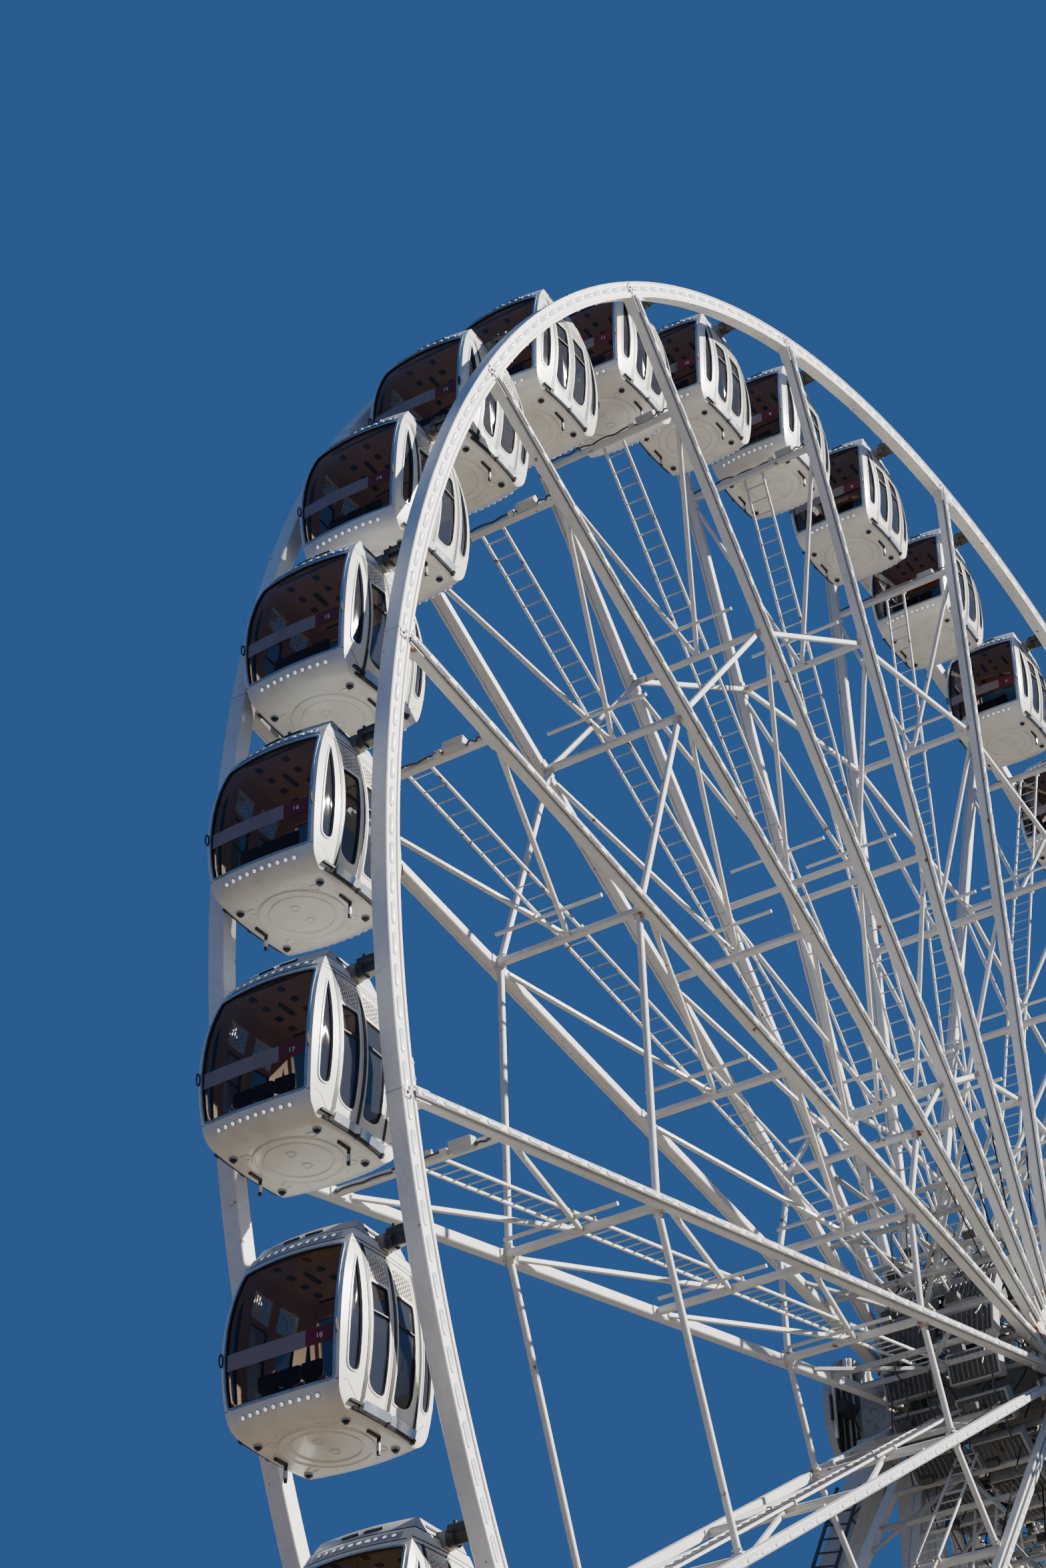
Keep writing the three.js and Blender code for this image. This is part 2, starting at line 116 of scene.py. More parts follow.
def camera_axes(yaw, pitch, roll):
    """Right, up and back of a camera turned to the right by yaw, up by pitch, and then rolled."""
    flat = math.cos(pitch)
    ahead = np.array([math.sin(yaw) * flat, math.cos(yaw) * flat, math.sin(pitch)])
    level = np.array([math.cos(yaw), -math.sin(yaw), 0.0])
    up = np.cross(level, ahead)
    right = math.cos(roll) * level + math.sin(roll) * up
    return right, math.cos(roll) * up - math.sin(roll) * level, -ahead


camera_data = bpy.data.cameras.new("camera")
camera_data.sensor_width = SENSOR_MM
camera_data.lens = SENSOR_MM * FOCAL_PIXELS / IMAGE_HEIGHT_PIXELS
camera = bpy.data.objects.new("camera", camera_data)
bpy.context.collection.objects.link(camera)
turn = Matrix(np.array(camera_axes(CAMERA_YAW, CAMERA_PITCH, CAMERA_ROLL)).T.tolist()).to_4x4()
camera.matrix_world = Matrix.Translation(CAMERA_PLACE) @ turn
bpy.context.scene.camera = camera
print("lens", round(camera_data.lens, 2), "mm")

# %% [markdown]
# The wheel stands on a plain warm floor in a plain studio. The key light comes from high on the front
# right, weak soft lamps from the left and from above keep the shaded sides readable, and the floor
# throws light up to the undersides. Far out the floor falls off into the tone of the deep plain
# backdrop, so that it lights the undersides well and the upright sides little, and no horizon shows.

# %% Studio
BACKDROP = (0.032, 0.096, 0.275, 1.0)
FLOOR_HALF = 160.0
FLOOR_WARM_TO = 18.0
FLOOR_FADES_BY = 48.0
FLOOR_TONE = (0.153, 0.13, 0.094)
FLOOR_FAR_TONE = (0.0119, 0.0362, 0.1045)
LIGHTS = {
    "key": ((-0.42, 0.72, -0.55), 15.0, 0.02, (1.0, 0.955, 0.88)),
    "fill": ((0.75, 0.25, -0.35), 0.1, 2.2, (0.8, 0.9, 1.0)),
    "top": ((0.1, 0.2, -1.0), 0.1, 2.6, (0.82, 0.9, 1.0)),
}


def add_light(name, towards, power, softness, tint):
    """A sun lamp that shines along the direction towards; softness is its angle in radians."""
    data = bpy.data.lights.new(name, "SUN")
    data.energy = power
    data.angle = softness
    data.color = tint
    lamp = bpy.data.objects.new(name, data)
    back = -np.array(towards) / np.linalg.norm(towards)
    side = np.cross((0.0, 0.0, 1.0), back)
    side /= np.linalg.norm(side)
    axes = np.array([side, np.cross(back, side), back])
    lamp.matrix_world = Matrix(axes.T.tolist()).to_4x4()
    bpy.context.collection.objects.link(lamp)


for light_name, light in LIGHTS.items():
    add_light(light_name, *light)

world = bpy.data.worlds.new("studio")
world.use_nodes = True
world.node_tree.nodes["Background"].inputs["Color"].default_value = BACKDROP
bpy.context.scene.world = world
print("lights", ", ".join(LIGHTS))

# %% [markdown]
# Finishes are written as arithmetic. A wire stands for one socket, and adding, subtracting or
# multiplying wires lays down Math nodes. Colours never pass through Math nodes, which would turn
# them grey: they are blended with the Mix node. Plain numbers are worked out in Python.


# %% Shader arithmetic
class Wire:
    """One output socket of a finish. Arithmetic on it adds Math nodes to the same finish."""

    def __init__(self, finish, socket):
        self.finish = finish
        self.socket = socket

    def math(self, operation, first, second):
        return self.finish.node("ShaderNodeMath", {"operation": operation}, {0: first, 1: second})

    def __add__(self, other):
        return self.math("ADD", self, other)

    def __mul__(self, other):
        return self.math("MULTIPLY", self, other)

    def __sub__(self, other):
        return self.math("SUBTRACT", self, other)

    def __rsub__(self, other):
        return self.math("SUBTRACT", other, self)

    __radd__ = __add__
    __rmul__ = __mul__

    def step(self, low, high):
        """0 below low, 1 above high, and smooth between."""
        settings = {"interpolation_type": "SMOOTHSTEP"}
        return self.finish.node("ShaderNodeMapRange", settings, {0: self, 1: low, 2: high})


class Finish:
    """A material under construction, with one Principled shader."""

    def __init__(self, name):
        self.material = bpy.data.materials.new(name)
        self.material.use_nodes = True
        self.tree = self.material.node_tree
        self.shader = self.tree.nodes["Principled BSDF"]
        self.place = self.node("ShaderNodeTexCoord", output="Object")

    def node(self, kind, settings=(), values=(), output=0):
        """Adds a node: its settings first, then the values or wires of its sockets."""
        made = self.tree.nodes.new(kind)
        for key, value in dict(settings).items():
            setattr(made, key, value)
        for key, value in dict(values).items():
            self.feed(made.inputs[key], value)
        return Wire(self, made.outputs[output])

    def feed(self, socket, value):
        if isinstance(value, Wire):
            self.tree.links.new(value.socket, socket)
        elif isinstance(value, tuple) and len(value) == 3 and len(socket.default_value) == 4:
            socket.default_value = (*value, 1.0)
        else:
            socket.default_value = value

    def set(self, **inputs):
        """Sets the shader's sockets by name, with _ for a space."""
        for key, value in inputs.items():
            self.feed(self.shader.inputs[key.replace("_", " ").title().replace("Ior", "IOR")], value)
        return self

    def noise(self, scale, detail=2.0, stretch=(1.0, 1.0, 1.0)):
        """Soft noise from 0 to 1, at that many cells to a metre of the model. A stretch below 1 draws
        it out along that axis."""
        spread = self.node("ShaderNodeMapping", {}, {"Vector": self.place, "Scale": stretch})
        return self.node("ShaderNodeTexNoise", {}, {"Vector": spread, "Scale": scale, "Detail": detail})

    def blend(self, base, over, mask):
        """The colour base where mask is 0, and over where it is 1."""
        settings = {"data_type": "RGBA"}
        return self.node("ShaderNodeMix", settings, {0: mask, 6: base, 7: over}, output=2)

    def relief(self, height, depth):
        """Raises the surface by height times depth metres."""
        bump = self.node("ShaderNodeBump", {}, {"Height": height, "Distance": depth})
        return self.set(normal=bump)

# %% [markdown]
# Almost everything up on the wheel is satin white paint on steel. It is chalky, a little dusty, and
# rust starts at welds and rungs. Three layers do it: the paint, a soft dust mask from two noises,
# and rust where a third noise peaks. A photograph could be painted on instead, but noise in object
# space has no seams and stays sharp at every distance.

# %% Paint and steel finishes
PAINT = (0.83, 0.82, 0.785)
DUST = (0.47, 0.45, 0.40)
RUST = (0.24, 0.092, 0.034)


def painted_steel(name, paint, dust, dirt, rust_from, roughness=0.42):
    """Paint under soft dust, with rust where a noise passes rust_from (0.7 is rare, 0.6 is common)."""
    finish = Finish(name)
    broad = finish.noise(0.9, 4.0)
    fine = finish.noise(22.0, 3.0)
    dusty = (broad.step(0.42, 0.75) * 0.6 + fine.step(0.4, 0.8) * 0.4) * dirt
    rusty = finish.noise(9.0, 5.0).step(rust_from, rust_from + 0.04) * fine.step(0.35, 0.6)
    colour = finish.blend(finish.blend(paint, dust, dusty), RUST, rusty)
    finish.set(base_color=colour, roughness=dusty * 0.3 + rusty * 0.35 + roughness)
    return finish.relief(fine + rusty * 2.0, 0.0006).material


WHITE_STEEL = painted_steel("white_steel", PAINT, DUST, 0.55, 0.69)
# Spokes and truss bars wear the same white paint as the rims. Their darker tone here is painted shade,
# for the deeper shade among the truss; their dust and rust are real.
SPOKE_STEEL = painted_steel("spoke_steel", (0.66, 0.655, 0.63), DUST, 0.65, 0.68)
TRUSS_STEEL = painted_steel("truss_steel", (0.62, 0.61, 0.585), DUST, 0.75, 0.67)
LADDER_STEEL = painted_steel("ladder_steel", (0.66, 0.645, 0.60), DUST, 0.6, 0.6)
RUSTY_STEEL = painted_steel("rusty_steel", (0.60, 0.57, 0.51), (0.3, 0.22, 0.15), 0.9, 0.56)
# Tower steel is darker than the legs' real light paint: painted shade, for the shade that the wheel and
# the hub cast on the towers.
TOWER_STEEL = painted_steel("tower_steel", (0.50, 0.51, 0.51), (0.25, 0.25, 0.25), 0.8, 0.7)
# The hub's tray paint and the louvre steel are darker than their real steel: partly grime, and partly
# painted shade for the deep shade round the hub.
HUB_STEEL = painted_steel("hub_panels", (0.37, 0.37, 0.36), (0.13, 0.125, 0.12), 0.9, 0.68)
LOUVRE_STEEL = painted_steel("louvre_steel", (0.17, 0.17, 0.17), (0.06, 0.058, 0.055), 0.8, 0.68)
GREY_STEEL = painted_steel("grey_steel", (0.42, 0.43, 0.43), (0.25, 0.24, 0.22), 0.7, 0.66)
BLACK_STEEL = painted_steel("black_steel", (0.035, 0.036, 0.038), (0.16, 0.15, 0.13), 0.6, 0.68)


def lamp_lens():
    """A milky lens over small diodes: dots in object space show faintly through the cover."""
    finish = Finish("lamp_lens")
    dots = finish.noise(60.0, 0.0).step(0.5, 0.62)
    colour = finish.blend((0.52, 0.63, 0.78), (0.86, 0.91, 0.98), dots)
    return finish.set(base_color=colour, roughness=dots * -0.1 + 0.25, coat_weight=0.6).material


LAMP_LENS = lamp_lens()
print("finishes", len(bpy.data.materials))

# %% [markdown]
# New pieces are worked out as arrays. A shape gathers sheets of points, and each sheet is a grid or
# a small solid that is stamped many times. bmesh could add the faces one by one, but the wheel has
# thousands of bars, and whole arrays are both shorter to write and much faster.


# %% Shapes from arrays
def unit(vectors):
    return vectors / np.linalg.norm(vectors, axis=-1, keepdims=True)


def turns_about_axle(angles):
    """A turn matrix for each angle, clockwise seen from the front: straight up turns towards +X."""
    c, s, o, i = np.cos(angles), np.sin(angles), np.zeros_like(angles), np.ones_like(angles)
    return np.stack([c, o, s, o, i, o, -s, o, c], axis=-1).reshape(-1, 3, 3)


class Shape:
    """Sheets of points and faces, each sheet with the number of its finish."""

    def __init__(self):
        self.sheets = []

    def add(self, points, faces, finish=0):
        points = np.asarray(points, float).reshape(-1, 3)
        self.sheets.append((points, np.asarray(faces, int), finish))
        return self

    def grid(self, points, finish=0, wrap_u=False, wrap_v=False):
        """Quads between points[u, v]. They face the way of the step in u crossed with that in v."""
        rows, columns = points.shape[:2]
        index = np.arange(rows * columns).reshape(rows, columns)
        if wrap_u:
            index = np.vstack([index, index[:1]])
        if wrap_v:
            index = np.hstack([index, index[:, :1]])
        corners = [index[:-1, :-1], index[1:, :-1], index[1:, 1:], index[:-1, 1:]]
        return self.add(points, np.stack(corners, axis=-1).reshape(-1, 4), finish)

    def sweep(self, starts, ends, section, facing, finish=0):
        """Straight solids from starts to ends. The section's points are (across, facing) pairs,
        counter-clockwise seen from the end; each solid is closed by two flat caps."""
        starts, ends = np.broadcast_arrays(np.atleast_2d(starts), np.atleast_2d(ends))
        along = unit(ends - starts)
        across = unit(np.cross(np.broadcast_to(facing, along.shape), along))
        face = np.cross(along, across)
        flat = section[:, 0, None] * across[:, None] + section[:, 1, None] * face[:, None]
        points = np.stack([starts[:, None] + flat, ends[:, None] + flat], axis=1)
        n, k = len(starts), len(section)
        first = np.arange(n)[:, None] * 2 * k
        ring = np.arange(k)
        ahead = (ring + 1) % k
        sides = np.stack([ring, ahead, ahead + k, ring + k], axis=-1)
        self.add(points, (first[..., None] + sides).reshape(-1, 4), finish)
        return self.join(np.concatenate([first + ring[::-1], first + ring + k]))

    def join(self, faces):
        """Adds faces to the points of the sheet before, with the same finish."""
        points, _, finish = self.sheets[-1]
        self.sheets.append((points, faces, finish))
        return self

    def repeat(self, other, turns, places=(0.0, 0.0, 0.0)):
        """Adds a copy of another shape for each turn matrix and place."""
        places = np.broadcast_to(places, (len(turns), 3))
        for points, faces, finish in other.sheets:
            moved = np.einsum("nij,pj->npi", turns, points) + places[:, None]
            step = np.arange(len(turns))[:, None, None] * len(points)
            self.add(moved, (faces[None] + step).reshape(-1, faces.shape[1]), finish)
        return self

    def mirrored(self, axis):
        """The same shape seen in a mirror across that axis, with its faces turned round again."""
        other = Shape()
        flip = np.ones(3)
        flip[axis] = -1.0
        for points, faces, finish in self.sheets:
            other.add(points * flip, faces[:, ::-1], finish)
        return other

    def plus(self, other):
        self.sheets += other.sheets
        return self

    def mesh(self, name, finishes, place=(0.0, 0.0, 0.0), crease=32.0):
        """One mesh at model size. Touching points are merged, and edges past the crease angle are
        shaded sharp. place is where the shape's own zero point lies, in real metres."""
        made = bpy.data.meshes.new(name)
        used = [(points, faces, finish) for points, faces, finish in self.sheets if len(faces)]
        counts = np.cumsum([0] + [len(points) for points, _, _ in used])
        points = np.concatenate([points for points, _, _ in used])
        loops = [(faces + count).ravel() for (_, faces, _), count in zip(used, counts)]
        sizes = np.concatenate([np.full(len(faces), faces.shape[1]) for _, faces, _ in used])
        slots = np.concatenate([np.full(len(faces), finish) for _, faces, finish in used])
        made.vertices.add(len(points))
        made.vertices.foreach_set("co", ((points + place) * MODEL_SCALE).ravel())
        made.loops.add(int(sizes.sum()))
        made.loops.foreach_set("vertex_index", np.concatenate(loops))
        made.polygons.add(len(sizes))
        made.polygons.foreach_set("loop_start", np.cumsum(sizes) - sizes)
        made.polygons.foreach_set("material_index", slots)
        made.polygons.foreach_set("use_smooth", np.ones(len(sizes), bool))
        for finish in finishes:
            made.materials.append(finish)
        made.update(calc_edges=True)
        weld(made)
        made.set_sharp_from_angle(angle=math.radians(crease))
        return made


def weld(mesh, distance=0.00005):
    """Merges the points that lie together, so that neighbouring sheets close into one skin."""
    work = bmesh.new()
    work.from_mesh(mesh)
    bmesh.ops.remove_doubles(work, verts=work.verts, dist=distance)
    bmesh.ops.dissolve_degenerate(work, edges=work.edges, dist=distance / 10)
    work.to_mesh(mesh)
    work.free()


def show(name, mesh, body, slot, *nodes):
    """Puts a mesh into the scene as a piece that rides on a body, instead of the named CAD nodes."""
    piece = bpy.data.objects.new(name, mesh)
    bpy.context.collection.objects.link(piece)
    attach(piece, body)
    if nodes:
        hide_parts(*nodes)
    print(name, sum(len(face.vertices) - 2 for face in mesh.polygons), "triangles")
    return piece


def box_section(width, depth, chamfer=0.15):
    """A rectangle with cut corners, as the corners of a rolled steel box catch the light."""
    w, d, c = width / 2, depth / 2, chamfer * min(width, depth)
    right = [(w - c, -d), (w, c - d), (w, d - c), (w - c, d)]
    return np.array(right + [(-x, -y) for x, y in right])


def round_section(radius, sides=8):
    """A circle with that many sides."""
    angles = np.arange(sides) * 2 * math.pi / sides
    return radius * np.stack([np.cos(angles), np.sin(angles)], axis=-1)


def block(shape, low, high, finish=0, chamfer=0.1):
    """An upright box from its low to its high corner, with cut edges along Z."""
    low, high = np.array(low, float), np.array(high, float)
    middle, size = (low + high) / 2, high - low
    foot, top = middle.copy(), middle.copy()
    foot[2], top[2] = low[2], high[2]
    shape.sweep(foot, top, box_section(size[0], size[1], chamfer), (0.0, 1.0, 0.0), finish)


AXLE = np.array([0.0, 1.0, 0.0])
UP = np.array([0.0, 0.0, 1.0])
BAY_TURNS = turns_about_axle(np.arange(BAYS) * BAY_ANGLE + WHEEL_TURN)
NEXT_BAY = turns_about_axle(np.array([BAY_ANGLE]))[0]
print("array helpers ready")

# %% [markdown]
# Each rim is a bent steel box. Its outer face carries a shallow channel with rows of long rounded
# lamps, and a lip runs along its inner edge. A curve with a bevel profile could bend such a box, but
# here the section is a closed list of (outward, axle) points that turns round the axle in small
# steps, smooth along the bend and sharp across it. The lamps are one small stadium-shaped stamp,
# repeated along the channel.

# %% Rims
RIM_STEPS = 288
RIM_CHAMFER = 0.012
CHANNEL_HALF = 0.108
CHANNEL_DEPTH = 0.02
LAMPS_PER_BAY = 16
RIM_LAMP = {"length": 0.33, "width": 0.075, "lift": 0.012, "border": 0.014, "arc_points": 4}
LIP_SIZE = 0.03
LIP_WIDTH, LIP_INSET, LIP_ROOT = 0.066, 0.006, 0.005
STUD_RADIUS, STUD_REACH = 0.016, 0.05
PLAIN, LAMP_GLASS, BLACK, GREY = range(4)


def stadium(length, width, arc_points):
    """Points (along, across) of a bar with round ends, counter-clockwise."""
    half, radius = length / 2 - width / 2, width / 2
    arc = np.linspace(-math.pi / 2, math.pi / 2, arc_points)
    end = np.stack([half + radius * np.cos(arc), radius * np.sin(arc)], axis=-1)
    return np.concatenate([end, -end])


def lamp_stamp(length, width, lift, border, arc_points):
    """A lens in a raised grey border, lying in the plane of X and Z and facing +Y. The grey of the
    border is painted shade, for the shaded edge round a recessed lamp.
    """
    stamp = Shape()
    inner = stadium(length - 2 * border, width - 2 * border, arc_points)
    outer = stadium(length, width, arc_points)
    rings = [(outer, -lift), (outer, lift), (inner, lift / 2)]
    points = np.array([[(x, y, z) for x, z in ring] for ring, y in rings])
    # The grey top and inner slope of the border are painted shade.
    stamp.grid(points[:2], PLAIN, wrap_v=True).grid(points[1:], GREY, wrap_v=True)
    return stamp.add(points[-1], np.arange(len(inner))[None, ::-1], LAMP_GLASS)


def rim_section():
    """The rim's section as (outward, axle) pairs for the back rim, from the inner edge outwards."""
    depth, near, far, cut = RIM_DEPTH / 2, HALF_WIDTH - RIM_WIDTH, HALF_WIDTH, RIM_CHAMFER
    lip, floor = CHANNEL_HALF + RIM_CHAMFER / 2, far - CHANNEL_DEPTH
    top = [(depth, near + cut), (depth, far - cut), (depth - cut, far)]
    top += [(lip, far), (CHANNEL_HALF, floor)]
    inner_side = [(cut - depth, near), (depth - cut, near)]
    return np.array(top + [(-out, axle) for out, axle in top[::-1]] + inner_side)


def turned_ring(section):
    """Points of a closed (outward, axle) section that is turned round the axle, for a wrapped grid."""
    angles = np.arange(RIM_STEPS) * 2 * math.pi / RIM_STEPS + WHEEL_TURN
    flat = np.stack([0 * section[:, 0], section[:, 1], RIM_RADIUS + section[:, 0]], axis=-1)
    return np.einsum("nij,pj->npi", turns_about_axle(angles), flat)


def rim_shape():
    shape = Shape()
    shape.grid(turned_ring(rim_section()), PLAIN, wrap_u=True, wrap_v=True)
    inside, near, far = -RIM_DEPTH / 2, HALF_WIDTH - LIP_WIDTH, HALF_WIDTH - LIP_INSET
    root, edge = inside + LIP_ROOT, inside - LIP_SIZE
    lip = np.array([(root, near), (root, far), (edge, far), (edge, near)])
    shape.grid(turned_ring(lip), PLAIN, wrap_u=True, wrap_v=True)
    lamps = lamp_stamp(**RIM_LAMP)
    count = BAYS * LAMPS_PER_BAY
    turns = turns_about_axle((np.arange(count) + 0.5) * 2 * math.pi / count + WHEEL_TURN)
    place = np.array([0.0, HALF_WIDTH - CHANNEL_DEPTH, RIM_RADIUS])
    shape.repeat(lamps, turns, turns @ place)
    stud = Shape().sweep([0.0, 0.0, 0.0], [0.0, 0.0, -STUD_REACH], round_section(STUD_RADIUS, 6), AXLE)
    studs = turns_about_axle(np.arange(0, count, 2) * 2 * math.pi / count + WHEEL_TURN)
    shape.repeat(stud, studs, studs @ np.array([0.0, HALF_WIDTH - LIP_SIZE, RIM_RADIUS + inside]))
    return shape.repeat(rim_joint(), BAY_TURNS).plus(cabin_arms())

# %% [markdown]
# The rim comes in lengths, bolted at each spoke, and from it an arm reaches in to every cabin. Each
# joint and each arm is a handful of blocks and bolts. Their sizes stand in small tables, with places
# counted from the rim's outer face (y) and from its middle or its inner edge (z).

# %% Rim joints and cabin arms
JOINT_GAP, JOINT_LIFT = 0.014, 0.005
JOINT_PLATE = (-0.1, 0.07, 0.07)
JOINT_PLATE_LIFT = 0.004
JOINT_PINS = ((-0.03, 0.02, BLACK), (0.04, -0.03, GREY), (-0.07, -0.04, GREY))
PIN_RADIUS, PIN_LENGTH = 0.024, 0.025
CONTROL_BOX = {"x": (0.12, 0.5), "y": (0.1, 0.02), "depth": 0.085}
CONTROL_BOLTS, CONTROL_BOLT_DEPTH = (0.2, 0.42), 0.06
HANGING_PLATE = {"half": 0.015, "y": (0.2, 0.03), "depth": 0.24}
ARM_SIZE = 0.16
ARM_FROM = 0.885
ARM_STEP, ARM_IN_RIM = 0.06, 0.02
BEARING_RADIUS, BEARING_LENGTH = 0.115, 0.1
CAP_WIDTH, CAP_HEIGHT, CAP_LENGTH = 0.24, 0.12, 0.26
CAP_FROM, CAP_LIFT = 0.02, 0.1
CAP_BOLTS, CAP_BOLT_RADIUS, CAP_BOLT_LENGTH = (-0.07, 0.07), 0.022, 0.07


def rim_joint():
    """The seam between two rim lengths: a dark gap, a plate with pins and a small white box."""
    shape = Shape()
    middle = np.array([JOINT_GAP / 2, HALF_WIDTH - RIM_WIDTH / 2, RIM_RADIUS])
    seam = box_section(RIM_WIDTH + JOINT_LIFT, RIM_DEPTH + JOINT_LIFT, 0.03)
    shape.sweep(middle, middle * [-1.0, 1.0, 1.0], seam, UP, GREY)
    left, right, half = JOINT_PLATE
    low = (left, HALF_WIDTH - CHANNEL_DEPTH, RIM_RADIUS - half)
    block(shape, low, (right, HALF_WIDTH + JOINT_PLATE_LIFT, RIM_RADIUS + half))
    for x, z, finish in JOINT_PINS:
        pin = np.array([x, HALF_WIDTH, RIM_RADIUS + z])
        shape.sweep(pin, pin + AXLE * PIN_LENGTH, round_section(PIN_RADIUS, 8), UP, finish)
    inside = RIM_RADIUS - RIM_DEPTH / 2
    (left, right), (far, near) = CONTROL_BOX["x"], CONTROL_BOX["y"]
    low = (left, HALF_WIDTH - far, inside - CONTROL_BOX["depth"])
    block(shape, low, (right, HALF_WIDTH - near, inside - LIP_SIZE))
    for x in CONTROL_BOLTS:
        bolt = np.array([x, HALF_WIDTH, inside - CONTROL_BOLT_DEPTH])
        shape.sweep(bolt - AXLE * near, bolt, round_section(STUD_RADIUS, 6), UP, GREY)
    half, (far, near) = HANGING_PLATE["half"], HANGING_PLATE["y"]
    low = (-half, HALF_WIDTH - far, inside - HANGING_PLATE["depth"])
    block(shape, low, (half, HALF_WIDTH - near, inside))
    return shape


def cabin_arms():
    """From the rim a black arm reaches in to each cabin, and ends in a bearing with a bolted cap."""
    shape = Shape()
    pivots = np.array([PIVOTS[cabin] - HUB for cabin in CABINS])
    near, out = HALF_WIDTH - RIM_WIDTH + ARM_IN_RIM, unit(pivots)
    arm = box_section(ARM_SIZE, ARM_SIZE, 0.08)
    shape.sweep(pivots + AXLE * (ARM_FROM + ARM_STEP), pivots + AXLE * near, arm, out, BLACK)
    start = pivots + AXLE * ARM_FROM
    shape.sweep(start, start + AXLE * BEARING_LENGTH, round_section(BEARING_RADIUS, 14), out, BLACK)
    start = pivots + [0.0, ARM_FROM + CAP_FROM, CAP_LIFT]
    cap = box_section(CAP_WIDTH, CAP_HEIGHT, 0.25)
    shape.sweep(start, start + AXLE * CAP_LENGTH, cap, UP, BLACK)
    for x in CAP_BOLTS:
        bolt = pivots + [x, ARM_FROM + BEARING_LENGTH, CAP_LIFT + CAP_HEIGHT / 4]
        end = bolt + UP * CAP_BOLT_LENGTH
        shape.sweep(bolt, end, round_section(CAP_BOLT_RADIUS, 6), AXLE, BLACK)
    return shape


rim_back = rim_shape()
print("lamps on each rim", BAYS * LAMPS_PER_BAY)

# %% [markdown]
# The spokes are box beams. On the outside they carry a slim channel with lamps from the hub to the
# rim. Front and back are mirror images, so only the back side is modelled and then mirrored.

# %% Spokes with lamp strips
SPOKE_FROM = 0.75
SPOKE_TO = RIM_RADIUS - RIM_DEPTH / 2
STRIP_WIDTH = 0.1
STRIP_DEPTH = 0.045
STRIP_GAP = 0.016
STRIP_FROM = 0.5
STRIP_LAMPS = 39
STRIP_LAMP = {"length": 0.36, "width": 0.066, "lift": 0.012, "border": 0.008, "arc_points": 3}
BEAM_SEAT_HALF, BEAM_SEAT_WIDTH, BEAM_SEAT_DEPTH = 0.17, 0.13, 0.024
END_PLATE_LENGTH, END_PLATE_WIDTH, END_PLATE_THICKNESS, END_PLATES_AT = 0.32, 0.2, 0.014, 0.085


def spoke_bay():
    """One spoke of the back plane, standing straight up from the hub, with its lamp strip."""
    shape = Shape()
    middle = HALF_WIDTH - SPOKE_SIZE / 2
    start, end = np.array([0.0, middle, SPOKE_FROM]), np.array([0.0, middle, SPOKE_TO])
    shape.sweep(start, end, box_section(SPOKE_SIZE, SPOKE_SIZE, 0.1), AXLE)
    lift = AXLE * (SPOKE_SIZE / 2 + STRIP_GAP + STRIP_DEPTH / 2)
    strip_start = start + lift + [0.0, 0.0, STRIP_FROM]
    shape.sweep(strip_start, end + lift, box_section(STRIP_WIDTH, STRIP_DEPTH, 0.12), AXLE)
    # The spacer in the gap under the strip is black as painted shade, so that the gap reads dark.
    gap = AXLE * (SPOKE_SIZE / 2 + STRIP_GAP / 2)
    spacer = box_section(STRIP_WIDTH / 2, 1.25 * STRIP_GAP, 0.0)
    shape.sweep(strip_start - lift + gap, end + gap, spacer, AXLE, BLACK)
    places = np.linspace(strip_start, end + lift, STRIP_LAMPS + 1)
    places = (places[:-1] + places[1:]) / 2 + AXLE * STRIP_DEPTH / 2
    upright = turns_about_axle(np.full(STRIP_LAMPS, -math.pi / 2))
    shape.repeat(lamp_stamp(**STRIP_LAMP), upright, places)
    half = np.array([0.0, 0.0, BEAM_SEAT_HALF])
    seat = box_section(BEAM_SEAT_WIDTH, BEAM_SEAT_DEPTH, 0.1)
    for beam in BEAM_RADII:
        foot = np.array([0.0, SPOKE_INSIDE - BEAM_SEAT_DEPTH / 2, beam])
        shape.sweep(foot - half, foot + half, seat, AXLE)
    for aside in (-END_PLATES_AT, END_PLATES_AT):
        plate = end + [aside, 0.0, 0.0]
        section = box_section(END_PLATE_THICKNESS, END_PLATE_WIDTH, 0.0)
        shape.sweep(plate - [0.0, 0.0, END_PLATE_LENGTH], plate, section, AXLE)
    return shape


spokes_back = Shape().repeat(spoke_bay(), BAY_TURNS)
print("spoke lamps", BAYS * STRIP_LAMPS)

# %% [markdown]
# Between the two spoke planes run crossbeams at four radii. Two braces make a V from the spokes
# down to the middle of the next beam, a ladder leads from the outer beam to the hub, thin step bars
# stick out past the ladder, and rods tie neighbouring spokes together. All are straight bars from
# one point to another, swept in one call for each kind, and one bay is turned eighteen times.

# %% Truss between the spokes
BEAM_SIZE = 0.12
BRACE_SIZE = 0.075
BRACE_FOOT_STEP = 0.3
ROD_SIZE = 0.09
STEP_BAR_OUT = 0.58
STEP_BAR_HALF = 0.95
STEP_BAR_SIZE = 0.055
LADDER_HALF = 0.2
LADDER_ASIDE = 0.1
RAIL_SIZE = 0.045
RUNG_SIZE = 0.03
RUNG_PITCH = 0.3
RAILS_FROM, RUNGS_FROM_SHARE = 1.4, 0.4
RODDED_BEAMS = (1, 3)
ROD_PLATE = {"half": 0.1, "width": 0.1, "depth": 0.17}
ROD_BOLTS, ROD_BOLT_RADIUS, ROD_BOLT_HALF = (-0.14, 0.14), 0.02, 0.075
LADDER_CLAMP = {"length": 0.09, "width": 0.05, "depth": 0.1}
LADDER_BAR, RUSTED, GREYER, CABLE = range(1, 5)
JUNCTION_BOXES = (
    ((-0.07, -0.98, 0.09, -0.62), 0.13, GREYER), ((-0.05, -0.55, 0.05, -0.44), 0.07, RUSTED),
)
WIRE_RADIUS, WIRE_LIFT, WIRE_STEPS = 0.016, 0.015, 6
